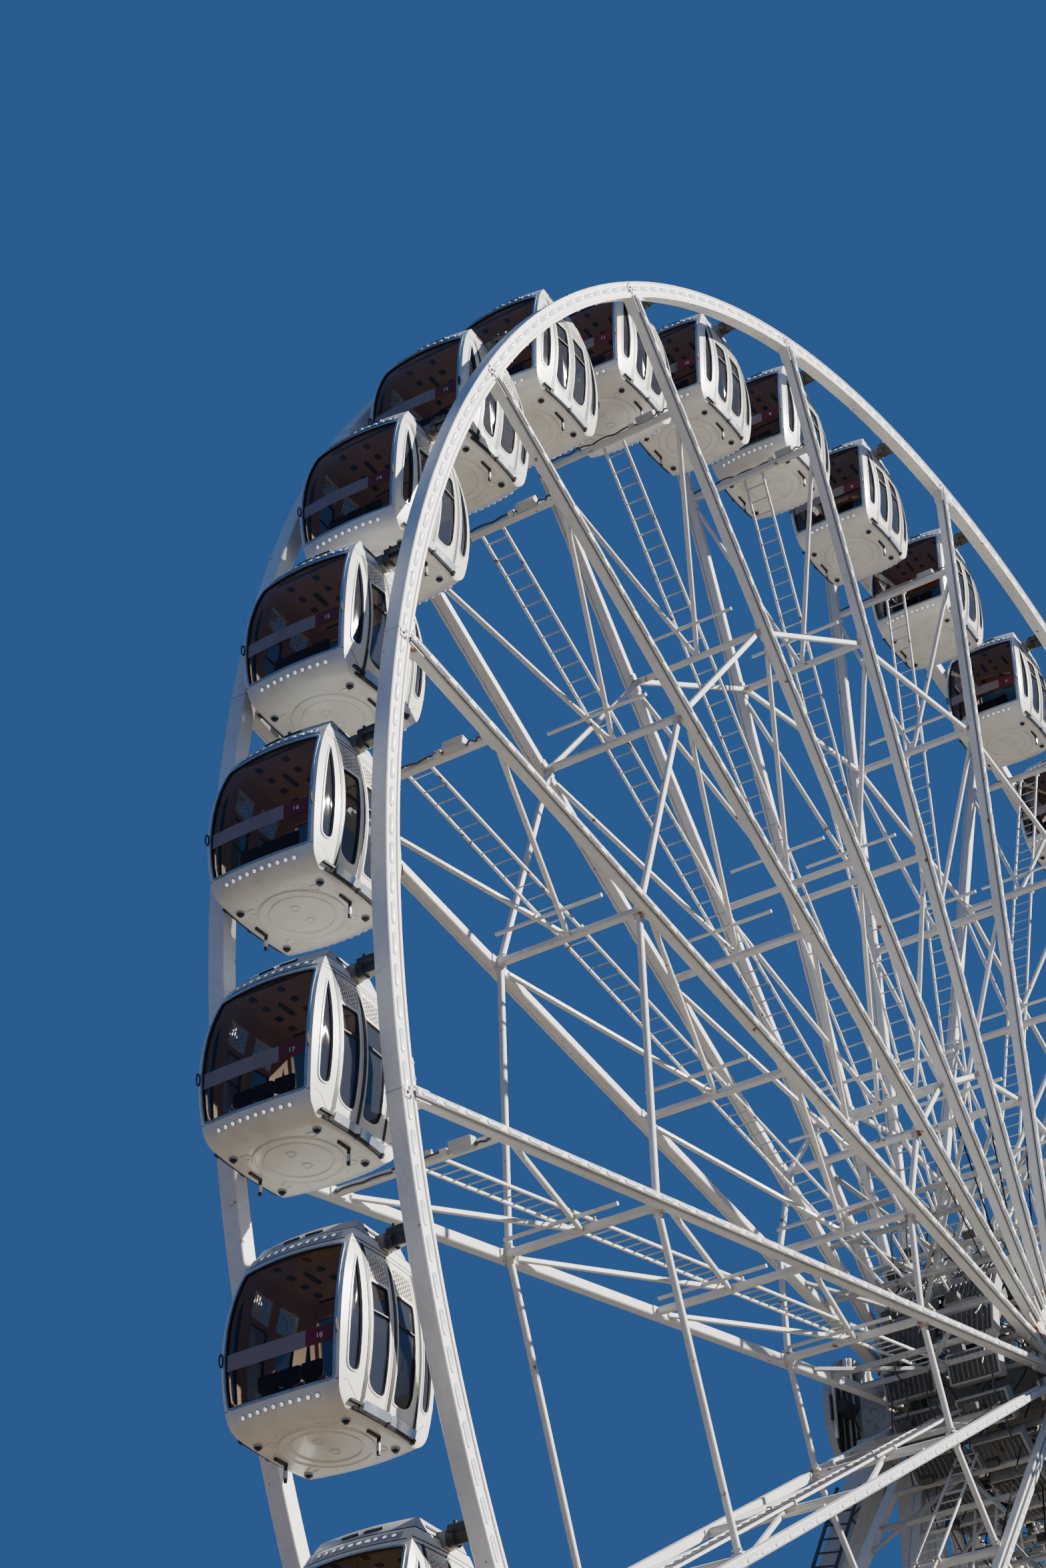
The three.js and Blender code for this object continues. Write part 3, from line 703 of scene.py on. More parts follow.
WIRES = (
    (-0.03, -0.98, -SPOKE_INSIDE, 0.05), (0.02, -0.6, 0.35, 0.03), (-0.02, 0.35, SPOKE_INSIDE, 0.04),
)


def truss_bay():
    """The bars of one bay, its spoke straight up. Bars without a finish here are plain steel."""
    shape = Shape()
    for radius in BEAM_RADII:
        ends = np.array([[0.0, -SPOKE_INSIDE, radius], [0.0, SPOKE_INSIDE, radius]])
        shape.sweep(*ends, box_section(BEAM_SIZE, BEAM_SIZE), UP)
    for outer, inner in zip(BEAM_RADII, BEAM_RADII[1:]):
        feet = np.array([[0.0, side * SPOKE_INSIDE, outer - BRACE_FOOT_STEP] for side in (-1, 1)])
        shape.sweep(feet, [0.0, 0.0, inner], box_section(BRACE_SIZE, BRACE_SIZE), (1.0, 0.0, 0.0))
        step = np.array([0.0, STEP_BAR_HALF, inner + STEP_BAR_OUT])
        shape.sweep(step * [1, -1, 1], step, box_section(STEP_BAR_SIZE, STEP_BAR_SIZE), UP)
    plate = box_section(ROD_PLATE["width"], ROD_PLATE["depth"], 0.05)
    aside, through = np.array([ROD_PLATE["half"], 0.0, 0.0]), AXLE * ROD_BOLT_HALF
    rod_y = SPOKE_INSIDE - ROD_SIZE / 2
    for beam in RODDED_BEAMS:
        start = np.array([[0.0, side * rod_y, BEAM_RADII[beam]] for side in (-1, 1)])
        shape.sweep(start, start @ NEXT_BAY.T, box_section(ROD_SIZE, ROD_SIZE), AXLE)
        shape.sweep(start - aside, start + aside, plate, AXLE, RUSTED)
        for x in ROD_BOLTS:
            bolts = start + [x, 0.0, 0.0]
            section = round_section(ROD_BOLT_RADIUS, 6)
            shape.sweep(bolts - through, bolts + through, section, UP, RUSTED)
    rails = np.array([[LADDER_ASIDE, side * LADDER_HALF, BEAM_RADII[0]] for side in (-1, 1)])
    feet = rails * [1, 1, 0] + [0, 0, RAILS_FROM]
    shape.sweep(feet, rails, box_section(RAIL_SIZE, RAIL_SIZE), AXLE, LADDER_BAR)
    lowest = BEAM_RADII[-1] * RUNGS_FROM_SHARE
    heights = np.arange(lowest, BEAM_RADII[0] - RUNG_PITCH / 2, RUNG_PITCH)
    rungs = np.array([[LADDER_ASIDE, -LADDER_HALF, height] for height in heights])
    shape.sweep(rungs, rungs * [1, -1, 1], round_section(RUNG_SIZE / 2, 4), (1.0, 0.0, 0.0), GREYER)
    clamp = box_section(LADDER_CLAMP["width"], LADDER_CLAMP["depth"], 0.1)
    for radius in BEAM_RADII:
        clamps = np.array([[LADDER_ASIDE / 2, side * LADDER_HALF, radius] for side in (-1, 1)])
        shape.sweep(clamps, clamps + [LADDER_CLAMP["length"], 0.0, 0.0], clamp, AXLE, RUSTED)
    return shape.plus(wiring())


def wiring():
    """Boxes on the outer beam near the front spoke, and black cables that lie along the beam in
    low waves, |sin| of the share of their run."""
    shape = Shape()
    top = BEAM_RADII[0] + BEAM_SIZE / 2
    for (left, low, right, high), height, finish in JUNCTION_BOXES:
        block(shape, (left, low, top), (right, high, top + height), finish)
    share = np.linspace(0, 1, WIRE_STEPS + 1)
    for x, y, end, rise in WIRES:
        wave = rise * np.abs(np.sin(share * 2 * math.pi))
        path = np.stack([x + 0 * share, y + share * (end - y), top + WIRE_LIFT + wave], axis=-1)
        shape.sweep(path[:-1], path[1:], round_section(WIRE_RADIUS, 5), (1.0, 0.0, 0.0), CABLE)
    return shape


STEEL_FINISHES = [WHITE_STEEL, LAMP_LENS, BLACK_STEEL, GREY_STEEL]
# The truss and spoke steel carry painted shade in their darker paint tone.
TRUSS_FINISHES = [TRUSS_STEEL, LADDER_STEEL, RUSTY_STEEL, GREY_STEEL, BLACK_STEEL]
SPOKE_FINISHES = [SPOKE_STEEL, *STEEL_FINISHES[1:]]
WHEEL_PLANES = ((rim_back, "rim", STEEL_FINISHES), (spokes_back, "spokes", SPOKE_FINISHES))
for back, node, finishes in WHEEL_PLANES:
    for shape, side_name in ((back, "_back"), (back.mirrored(1), "_front")):
        name = node + side_name + "_skin"
        show(name, shape.mesh(name, finishes, HUB), "wheel", "white_paint", node + side_name)
truss_mesh = Shape().repeat(truss_bay(), BAY_TURNS).mesh("truss", TRUSS_FINISHES, HUB)
show("truss", truss_mesh, "wheel", "white_paint", "brace_ring_outer", "brace_ring_inner")

# %% [markdown]
# Round the axle sits the wheel's own power plant: a ring of flat steel trays with dark louvred
# floors, beams that carry them, and a tangle of black cables. Each bay gets one tray on each side of
# the middle, and the same bay is turned round the axle. The cables are placed by slow waves of their
# number, so that they look laid by hand, yet come out the same each time.

# %% Hub
TRAY_RADIUS = 2.15
TRAY_SIZE = np.array([0.56, 0.98, 0.24])
TRAY_Y = 0.62
HUB_BEAM_RADII = (1.5, 2.75, 3.9)
PANEL_SHARE, PANEL_LIFT = (0.86, 0.9, 0.0), 0.012
LOUVRES = 9
LOUVRE_WIDTH, LOUVRE_THICKNESS, LOUVRE_LIFT, LOUVRE_SLOPE = 0.03, 0.014, 0.02, 0.3
TRAY_STAY = {"half_length": 0.3, "half_thickness": 0.03, "low": 0.45, "high": 0.2}
HUB_BOXES = (((0.1, -0.14, 2.8), (0.22, 0.1, 2.94)), ((-0.2, -0.3, 1.62), (0.1, 0.3, 1.8)))
HUB_BEAM_SIZE, HUB_BRACE_SIZE, HUB_BRACE_TOP = 0.09, 0.07, 4.6
ROOT_PLATE = {"inset": 0.03, "from": 1.0, "length": 0.55, "width": 0.34, "thickness": 0.05}
SINGLE_CABLES = (
    ((0.1, -1.05, 2.4), (0.05, -SPOKE_INSIDE, 5.6), 0.1, 0.0),
    ((-0.1, 0.5, 2.4), (0.0, 0.1, 3.9), 0.2, 0.2),
)
CABLES_PER_BAY = 11
CABLE_RADIUS = 0.015
HUB_WHITE, HUB_DARK, HUB_GREY, HUB_CABLE, HUB_RUST = range(5)


def tray(shape, y):
    """A shallow steel tray with a dark louvred panel on its outer and inner face. The black panel
    behind the slats and the dark slats are painted shade, for the shade inside the louvres.
    """
    half = TRAY_SIZE / 2
    middle = np.array([0.0, y, TRAY_RADIUS])
    block(shape, middle - half, middle + half, HUB_WHITE, 0.05)
    panel = half * PANEL_SHARE + UP * PANEL_LIFT
    across = [half[0] * 0.8, 0.0, 0.0]
    section = box_section(LOUVRE_WIDTH, LOUVRE_THICKNESS, 0.1)
    for side in (-1, 1):
        face = middle + UP * side * half[2]
        block(shape, face - panel, face + panel, HUB_DARK, 0.0)
        slats = face + np.linspace(-0.8, 0.8, LOUVRES)[:, None] * half * AXLE + UP * side * LOUVRE_LIFT
        shape.sweep(slats - across, slats + across, section, (0.0, LOUVRE_SLOPE, side), HUB_GREY)


def cable(shape, start, end, sag, aside=0.0, steps=9, finish=HUB_CABLE):
    """A hanging cable: a parabola, 4 t (1 - t) deep, between two points, in short straight lengths."""
    share = np.linspace(0.0, 1.0, steps)[:, None]
    dip = 4 * share * (1 - share)
    path = start + share * (np.array(end) - start) - dip * sag * UP + dip * aside * AXLE
    shape.sweep(path[:-1], path[1:], round_section(CABLE_RADIUS, 5), AXLE, finish)


def tangle(shape):
    """The cables of one bay. Height, place along the axle and sag are sines of the cable's number."""
    for number in range(CABLES_PER_BAY):
        y = 1.05 * math.sin(2.1 * number)
        radius = TRAY_RADIUS + 0.7 * math.sin(1.3 * number + 0.5)
        start = np.array([0.12 * math.sin(number), y, radius])
        onward = [0.0, 0.35 * math.sin(3.7 * number), 0.2 * math.cos(2.9 * number)]
        sag = 0.12 + 0.09 * math.sin(1.7 * number)
        cable(shape, start, NEXT_BAY @ (start + onward), sag, 0.18 * math.cos(number), 6)


def hub_bay():
    """The hub's fittings round one spoke, standing straight up."""
    shape = Shape()
    for side in (-1, 1):
        y = side * TRAY_Y
        tray(shape, y)
        half, thick = TRAY_STAY["half_length"], TRAY_STAY["half_thickness"]
        low, high = (TRAY_RADIUS - TRAY_STAY[key] for key in ("low", "high"))
        block(shape, (-half, y - thick, low), (half, y + thick, high), HUB_GREY)
        for low, high in HUB_BOXES:
            block(shape, low + y * AXLE, high + y * AXLE, HUB_DARK)
        head = [0.0, side * SPOKE_INSIDE, HUB_BRACE_TOP]
        section = box_section(HUB_BRACE_SIZE, HUB_BRACE_SIZE)
        shape.sweep(head, UP * HUB_BEAM_RADII[1], section, (1.0, 0.0, 0.0), HUB_WHITE)
        plate = np.array([0.0, side * (HALF_WIDTH - ROOT_PLATE["inset"]), ROOT_PLATE["from"]])
        section = box_section(ROOT_PLATE["width"], ROOT_PLATE["thickness"], 0.1)
        shape.sweep(plate, plate + UP * ROOT_PLATE["length"], section, side * AXLE, HUB_RUST)
    for radius in HUB_BEAM_RADII:
        ends = np.array([0.0, SPOKE_INSIDE, radius])
        section = box_section(HUB_BEAM_SIZE, HUB_BEAM_SIZE)
        shape.sweep(ends * [1, -1, 1], ends, section, UP, HUB_WHITE)
    for start, end, sag, aside in SINGLE_CABLES:
        cable(shape, start, end, sag, aside)
    tangle(shape)
    return shape


hub_dressing = Shape().repeat(hub_bay(), BAY_TURNS)
# The grey tray paint, the black louvre panels and the dark slats and stays are partly painted shade.
HUB_FINISHES = [HUB_STEEL, BLACK_STEEL, LOUVRE_STEEL, BLACK_STEEL, RUSTY_STEEL]
show("hub_dressing", hub_dressing.mesh("hub_dressing", HUB_FINISHES, HUB), "wheel", "machinery")

# %% [markdown]
# Two A-shaped towers carry the axle. Their legs are long welded boxes, bolted together from lengths
# with flanges, and a black ladder climbs the left leg of each. Past the bearings hang round light
# discs. The side that faces the wheel is the disc's rough back: upright bars, black, grey and white,
# with cables over them. Outside it carries rings of lamps.

# %% Towers
LEG_TOP = np.array([0.48, 1.96, HUB[2] - 0.1])
LEG_FOOT = np.array([9.8, 6.7, -0.15])
LEG_SIZE = 0.5
LEG_LENGTHS = (0.2, 0.4, 0.6, 0.8)
FLANGES = ((0.6, 0.03, HUB_WHITE), (0.61, 0.006, HUB_DARK))
FLANGE_BOLTS, FLANGE_BOLT_HALF, FLANGE_BOLT_RADIUS = (-0.27, -0.09, 0.09, 0.27), 0.07, 0.022
TOWER_LADDER = (0.06, 0.93)
TOWER_LADDER_HALF = 0.24
TOWER_RAIL_WIDTH, TOWER_RAIL_DEPTH, TOWER_RUNG_RADIUS = 0.06, 0.04, 0.02
LADDER_OFF_LEG = 0.16
LADDER_STAYS, STAY_FORMS = 12, ((0.04, 0.0), (0.03, 0.35))
DISC_RADIUS = 1.35
DISC_NEAR, DISC_FAR = 2.62, 2.76
DISC_BARS = 25
DISC_BAR_WIDTH, DISC_BAR_SPREAD, DISC_BAR_INSET = 0.056, 0.975, 0.02
# Most bars are black: partly real dark bars, and partly painted shade over the disc's lower part.
DISC_RHYTHM = (BLACK, PLAIN, BLACK, BLACK, GREY, BLACK, PLAIN)
DISC_BOX_DEPTH, DISC_BOXES = 0.22, ((-1.15, -0.75, -0.08, 0.16), (0.95, 1.15, 0.75, 1.1))
DISC_CABLES, DISC_CABLE_DEPTH, DISC_CABLE_SAG = 8, 0.12, 0.16
DISC_LAMP = {"length": 0.14, "width": 0.14, "lift": 0.012, "border": 0.02, "arc_points": 5}
DISC_LAMP_RINGS = ((0.45, 12), (0.8, 20), (1.15, 30))


def leg_line(x, y, shares):
    """Points on a leg's middle line, from its foot (0) to its top (1)."""
    sides = np.array([x, y, 1.0])
    return LEG_FOOT * sides + np.atleast_1d(shares)[:, None] * (LEG_TOP - LEG_FOOT) * sides


def leg_axes(x, y):
    """The directions along a leg, outwards from the tower's plane, and to its outer edge."""
    foot, top = leg_line(x, y, [0.0, 1.0])
    along = unit(top - foot)
    edge = -x * y * unit(np.cross(along, [0.0, y, 0.0]))
    return along, -x * y * unit(np.cross(edge, along)), edge


def leg_dressing(x, y):
    """Bolted flanges on one leg, each with a dark seam in its middle."""
    shape = Shape()
    along, _, _ = leg_axes(x, y)
    joints = leg_line(x, y, LEG_LENGTHS)
    for size, half, finish in FLANGES:
        section = box_section(size, size, 0.03)
        shape.sweep(joints - half * along, joints + half * along, section, y * AXLE, finish)
    reach, section = FLANGE_BOLT_HALF * along, round_section(FLANGE_BOLT_RADIUS, 6)
    for across in FLANGE_BOLTS:
        bolts = joints + [across, y * FLANGE_BOLTS[-1], 0.0]
        shape.sweep(bolts - reach, bolts + reach, section, AXLE, HUB_GREY)
    return shape


def tower_ladder(y):
    """The black ladder along the outer edge of a tower's left leg, held by straight and slanted
    stays."""
    shape = Shape()
    along, out, edge = leg_axes(-1, y)
    aside = TOWER_LADDER_HALF * out
    low, high = leg_line(-1, y, TOWER_LADDER) + edge * (LEG_SIZE / 2 + LADDER_OFF_LEG)
    section = box_section(TOWER_RAIL_WIDTH, TOWER_RAIL_DEPTH)
    for side in (-1, 1):
        shape.sweep(low + side * aside, high + side * aside, section, edge, HUB_DARK)
    count = int(np.linalg.norm(high - low) / RUNG_PITCH)
    rungs = low + np.linspace(0.01, 0.99, count)[:, None] * (high - low)
    section = round_section(TOWER_RUNG_RADIUS, 5)
    shape.sweep(rungs - aside, rungs + aside, section, edge, HUB_DARK)
    stays = low + np.linspace(0.03, 0.97, LADDER_STAYS)[:, None] * (high - low)
    for side in (-1, 1):
        heads = stays + side * aside
        for size, rise in STAY_FORMS:
            feet = heads - edge * LADDER_OFF_LEG + rise * along
            shape.sweep(heads, feet, box_section(size, size), along, HUB_DARK)
    return shape


def disc_dressing(y):
    """Bars on the inner side of a light disc, rings of lamps on its outer side, and its cables.
    The bars end near the disc's edge, at sqrt(R^2 - x^2). Black ones stop shorter on top, so the
    disc is darker below: their black is partly real dark bars and partly painted shade."""
    shape = Shape()
    columns = np.linspace(-DISC_BAR_SPREAD, DISC_BAR_SPREAD, DISC_BARS) * DISC_RADIUS
    for number, x in enumerate(columns):
        finish = DISC_RHYTHM[number % len(DISC_RHYTHM)]
        half = math.sqrt(DISC_RADIUS**2 - x**2) - DISC_BAR_INSET
        top = half * (0.72 + 0.22 * math.sin(5.0 * number)) if finish == BLACK else half
        reach = 0.05 if finish == PLAIN else 0.035 + 0.015 * math.sin(3.0 * number)
        inner, outer = sorted((y * (DISC_NEAR - reach), y * DISC_NEAR))
        width = DISC_BAR_WIDTH * (1.2 if finish == BLACK else 0.9) / 2
        block(shape, (x - width, inner, -half), (x + width, outer, top), finish, 0.0)
    inner, outer = sorted((y * (DISC_NEAR - DISC_BOX_DEPTH), y * DISC_NEAR))
    for left, right, low, high in DISC_BOXES:
        block(shape, (left, inner, low), (right, outer, high), BLACK)
    lens = lamp_stamp(**DISC_LAMP)
    for radius, count in DISC_LAMP_RINGS:
        turns = turns_about_axle(np.arange(count) * 2 * math.pi / count)
        places = turns @ np.array([0.0, DISC_FAR, radius])
        ring = Shape().repeat(lens, turns, places)
        shape.plus(ring if y > 0 else ring.mirrored(1))
    depth = y * (DISC_NEAR - DISC_CABLE_DEPTH)
    for number, x in enumerate(np.linspace(-1.1, 0.7, DISC_CABLES)):
        start = np.array([x, depth, 0.5 * math.sin(2.3 * number) + 0.1])
        end = start + [0.4, 0.0, 0.5 * math.cos(1.9 * number) - 0.5]
        cable(shape, start, end, DISC_CABLE_SAG, finish=BLACK)
    return shape


TOWER_FINISHES = [TOWER_STEEL, BLACK_STEEL, GREY_STEEL, BLACK_STEEL, RUSTY_STEEL]
for side_name, y in (("front", -1), ("back", 1)):
    tower = tower_ladder(y)
    for x in (-1, 1):
        tower.plus(leg_dressing(x, y))
    name = "tower_fittings_" + side_name
    show(name, tower.mesh(name, TOWER_FINISHES), "base", "white_paint")
    name = "disc_fittings_" + side_name
    show(name, disc_dressing(y).mesh(name, STEEL_FINISHES, HUB), "base", "machinery")

# %% [markdown]
# The platform is the plain kind that such wheels stand over: railings of upright bars with a round
# handrail, handrails along the stairs, toe boards, and steel noses on the treads. These are read off
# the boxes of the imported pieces, so a change of the platform takes its fittings along. Under each leg
# lies a foot plate with anchor bolts, and the tyres that drive the rims get their rubber here.

# %% Platform, feet and drive
RAILING_PITCH = 0.13
RAILING_BAR, RAILING_RAIL = 0.02, 0.03
RAILING_FOOT, RAILING_HEAD = 0.1, 0.05
TOE_BOARD_HEIGHT, TOE_BOARD_HALF = 0.08, 0.01
HANDRAIL_RADIUS = 0.034
STAIR_RAIL_HEIGHT = 0.95
STAIR_POSTS, STAIR_POST_SIZE, STAIR_POST_INSET = (0.04, 0.5, 0.96), 0.05, 0.05
KNEE_RAIL_RADIUS = 0.02
STAIR_STEPS = 8
NOSE_WIDTH, NOSE_HEIGHT, NOSE_PAST, NOSE_LIFT = 0.05, 0.012, 0.02, 0.004
FOOT_HALF, FOOT_HEIGHT = 0.45, 0.05
ANCHOR_AT = 0.37
ANCHOR_PARTS = ((0.045, 0.045, 6, GREY), (0.1, 0.022, 8, BLACK))
TYRE_RADIUS = 0.35
TYRE_HALF_WIDTH = 0.11
TYRE_SKIN = 0.002
TYRE_BEAD, TYRE_SIDE, TYRE_SHOULDER = 0.6, 0.9, 0.03
TYRE_STEPS = 40
TREAD_GROOVES, GROOVE_SIZE = (-0.06, 0.0, 0.06), 0.012


def real_box(node):
    """A node's lowest and highest corners in real metres."""
    return [np.array(corner) / MODEL_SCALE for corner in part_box(node)]


def railing_fittings(node):
    """Upright bars between two thin rails, a toe board, and the round handrail on top."""
    shape = Shape()
    low, high = real_box(node)
    middle = (low[1] + high[1]) / 2
    ends = np.array([[x, middle, low[2] + RAILING_FOOT] for x in (low[0], high[0])])
    feet = np.linspace(*ends, int((high[0] - low[0]) / RAILING_PITCH))
    heads = feet * [1, 1, 0] + [0, 0, high[2] - RAILING_HEAD]
    shape.sweep(feet, heads, box_section(RAILING_BAR, RAILING_BAR, 0.1), AXLE)
    shape.sweep(*ends, box_section(RAILING_RAIL, RAILING_RAIL, 0.1), AXLE)
    ends[:, 2] = high[2] - HANDRAIL_RADIUS
    shape.sweep(*ends, round_section(HANDRAIL_RADIUS, 12), AXLE, GREY)
    board_low = (low[0], middle - TOE_BOARD_HALF, low[2])
    board_high = (high[0], middle + TOE_BOARD_HALF, low[2] + TOE_BOARD_HEIGHT)
    block(shape, board_low, board_high, GREY, 0.0)
    return shape


def stair_fittings(node):
    """Handrails on both sides of a flight, in line with its slope, and a nose on each tread."""
    shape = Shape()
    low, high = real_box(node)
    side = math.copysign(1.0, low[0])
    top_x, foot_x = sorted((low[0], high[0]), key=abs)
    rise = high[2] / STAIR_STEPS
    top, foot = np.array([top_x, 0.0, high[2]]), np.array([foot_x, 0.0, rise])
    post = box_section(STAIR_POST_SIZE, STAIR_POST_SIZE, 0.1)
    for y in (low[1] + STAIR_POST_INSET, high[1] - STAIR_POST_INSET):
        places = top + np.array(STAIR_POSTS)[:, None] * (foot - top) + y * AXLE
        tops = places + UP * STAIR_RAIL_HEIGHT
        shape.sweep(places - UP * 0.1, tops, post, AXLE)
        shape.sweep(tops[0], tops[-1], round_section(HANDRAIL_RADIUS, 12), AXLE, GREY)
        knee = tops - UP * STAIR_RAIL_HEIGHT / 2
        shape.sweep(knee[0], knee[-1], round_section(KNEE_RAIL_RADIUS, 8), AXLE)
    shares = np.arange(STAIR_STEPS) / STAIR_STEPS
    nose_x = top_x + (shares + 1 / STAIR_STEPS) * (foot_x - top_x) - side * NOSE_PAST
    noses = np.stack([nose_x, 0 * shares, high[2] * (1 - shares) + NOSE_LIFT], axis=-1)
    section = box_section(NOSE_WIDTH, NOSE_HEIGHT, 0.0)[::2]
    shape.sweep(noses + low * AXLE, noses + high * AXLE, section, UP, GREY)
    return shape


def foot_fittings(x, y):
    """The plate under one leg, with eight anchor bolts and their nuts."""
    shape = Shape()
    level = real_box("base_frame")[1][2]
    share = (level - LEG_FOOT[2]) / (LEG_TOP[2] - LEG_FOOT[2])
    middle = leg_line(x, y, share)[0]
    corner = np.array([FOOT_HALF, FOOT_HALF, 0.0])
    block(shape, middle - corner, middle + corner + UP * FOOT_HEIGHT, GREY, 0.03)
    steps = np.array([-ANCHOR_AT, 0.0, ANCHOR_AT])
    grid = np.stack(np.meshgrid(steps, steps), axis=-1).reshape(-1, 2)
    grid = grid[np.abs(grid).max(axis=1) > 0]
    feet = middle + np.column_stack([grid, np.full(len(grid), FOOT_HEIGHT)])
    for height, radius, sides, finish in ANCHOR_PARTS:
        shape.sweep(feet, feet + UP * height, round_section(radius, sides), AXLE, finish)
    return shape


def tyre(middle):
    """A rubber tyre with three grooves, turned about an axle along Y, and its steel hub."""
    shape = Shape()
    half, radius = TYRE_HALF_WIDTH + TYRE_SKIN, TYRE_RADIUS + TYRE_SKIN
    bead, side, size = TYRE_BEAD * radius, TYRE_SIDE * radius, GROOVE_SIZE
    profile = [(bead, -half), (side, -half), (radius, -half + TYRE_SHOULDER)]
    for groove in TREAD_GROOVES:
        profile += [(radius, groove - size), (radius - size, groove), (radius, groove + size)]
    profile += [(radius, half - TYRE_SHOULDER), (side, half), (bead, half)]
    profile = np.array(profile)
    angles = np.arange(TYRE_STEPS) * 2 * math.pi / TYRE_STEPS
    flat = np.stack([0 * profile[:, 0], profile[:, 1], profile[:, 0]], axis=-1)
    points = np.einsum("nij,pj->npi", turns_about_axle(angles), flat) + middle
    shape.grid(points, BLACK, wrap_u=True)
    shape.add(points[:, -1], np.arange(TYRE_STEPS)[None], GREY)
    return shape.add(points[:, 0], np.arange(TYRE_STEPS)[None, ::-1], GREY)


platform = Shape()
for node in ("railing_front", "railing_back"):
    platform.plus(railing_fittings(node))
for node in ("stairs_left", "stairs_right"):
    platform.plus(stair_fittings(node))
for x in (-1, 1):
    for y in (-1, 1):
        platform.plus(foot_fittings(x, y))
drive_low, drive_high = real_box("rim_drive")
for y in (-1, 1):
    middle = (drive_low + drive_high) / 2 * [1, 0, 0] + y * (HALF_WIDTH - RIM_WIDTH / 2) * AXLE
    platform.plus(tyre(middle + UP * (drive_high[2] - TYRE_RADIUS)))
show("platform_fittings", platform.mesh("platform_fittings", STEEL_FINISHES), "base", "white_paint")

# %% [markdown]
# A cabin is a moulded shell that bulges on all four sides, as a wooden barrel does. Its half width
# and half depth depend on the height, and each wall bows out between the corner posts. On the real
# wheel the shell is glass fibre laid up in a mould. Here every wall is a formula that turns a place
# on the wall (s to the right, z up, seen from outside) and a depth below the skin into a point, so
# windows, frames, rubber and glass all follow the same bulge.

# %% Cabin surface
FLOOR_Z = -2.43
WALL_LOW = -2.2
WALL_HIGH = -0.13
ROOF_Z = 0.2
WIDEST_Z, WIDEST, WIDTH_SQUARE, WIDTH_FOURTH = -1.5, 0.963, 0.138, 0.016
DEEPEST_Z, DEEPEST, DEPTH_SQUARE = -1.3, 0.88, 0.07
WIDTH_ROUNDING, DEPTH_ROUNDING = (0.27, 0.23), (0.06, 0.1)
SIDE_BULGE = 0.16
DOOR_BOW_Z, DOOR_BOW, DOOR_BOW_SQUARE = -1.31, 0.118, 0.06
LINING_INSET = 0.05
SIDE_STEPS = 10
DOOR_SEAMS = np.array([-0.495, -0.022, 0.555])
DOOR_STEPS = (5, 6, 6, 5)
LEAF_SPLIT = -0.68


def eased(steps):
    """Shares from 0 to 1 that lie close together at both ends, where the corners are."""
    return (1 - np.cos(np.linspace(0, math.pi, steps + 1))) / 2


LEAF_LEVELS = WALL_LOW + (LEAF_SPLIT - WALL_LOW) * eased(9)
VENT_LEVELS = LEAF_SPLIT + (WALL_HIGH - LEAF_SPLIT) * eased(4)
LEVELS = np.concatenate([LEAF_LEVELS, VENT_LEVELS[1:]])


def rounding(z, reach, height):
    """How far the lower edge is rounded: 0 above it and reach at the floor, along a quarter of an
    ellipse, reach (1 - sqrt(1 - t^2)) with t the share of its height."""
    low = np.clip((FLOOR_Z + height - z) / height, 0.0, 1.0)
    return reach * (1 - np.sqrt(1 - low**2))


def half_width(z):
    """Half the width between the corner posts, widest a good way down. It is a - b u^2 - c u^4 with
    u the height over the widest place, less the rounding."""
    up = z - WIDEST_Z
    straight = WIDEST - WIDTH_SQUARE * up**2 - WIDTH_FOURTH * up**4
    return straight - rounding(z, *WIDTH_ROUNDING)


def half_depth(z):
    """Half the depth between the corner posts, a - b u^2 with u the height over the deepest place."""
    return DEEPEST - DEPTH_SQUARE * (z - DEEPEST_Z) ** 2 - rounding(z, *DEPTH_ROUNDING)


def side_wall(s, z, inset=0.0):
    """The wall at -X, bowed by SIDE_BULGE (d^2 - s^2). Seen from outside, s runs towards -Y."""
    s, z = np.broadcast_arrays(s, z)
    depth = half_depth(z) - inset
    return np.stack([inset - half_width(z) - SIDE_BULGE * (depth**2 - s**2), -s, z], axis=-1)


def door_wall(s, z, inset=0.0):
    """The wall at -Y, bowed by a part of 1 - (s / half width)^2. Seen from outside, s runs towards
    +X. The bow is deepest at DOOR_BOW_Z and falls off with the square of the height from there."""
    s, z = np.broadcast_arrays(s, z)
    bow = DOOR_BOW - DOOR_BOW_SQUARE * (z - DOOR_BOW_Z) ** 2
    y = inset - half_depth(z) - bow * (1 - (s / (half_width(z) - inset)) ** 2)
    return np.stack([s, y, z], axis=-1)


def side_edges(z, inset=0.0):
    """Where the one strip of a side wall begins and ends at height z."""
    return np.array([inset - half_depth(z), half_depth(z) - inset])


def door_edges(z, inset=0.0):
    """The edges of a door wall's four strips: corner, left leaf, right leaf and corner."""
    width = half_width(z) - inset
    level = half_width(np.clip(z, WALL_LOW, WALL_HIGH)) - inset
    seams = [seam * width / level for seam in DOOR_SEAMS]
    return np.array([-width, *seams, width])


def perimeter(z, inset=0.0):
    """A closed ring of points at height z, counter-clockwise seen from above."""
    ends = side_edges(z, inset)
    ring = [side_wall(np.linspace(ends[0], ends[1], SIDE_STEPS + 1)[:-1], z, inset)]
    edges = door_edges(z, inset)
    for left, right, steps in zip(edges, edges[1:], DOOR_STEPS):
        ring.append(door_wall(np.linspace(left, right, steps + 1)[:-1], z, inset))
    half = np.concatenate(ring)
    return np.concatenate([half, half * [-1.0, -1.0, 1.0]])


def both_ends(shape):
    """A shape together with itself turned half round the upright axis."""
    return Shape().repeat(shape, np.array([np.eye(3), np.diag([-1.0, -1.0, 1.0])]))


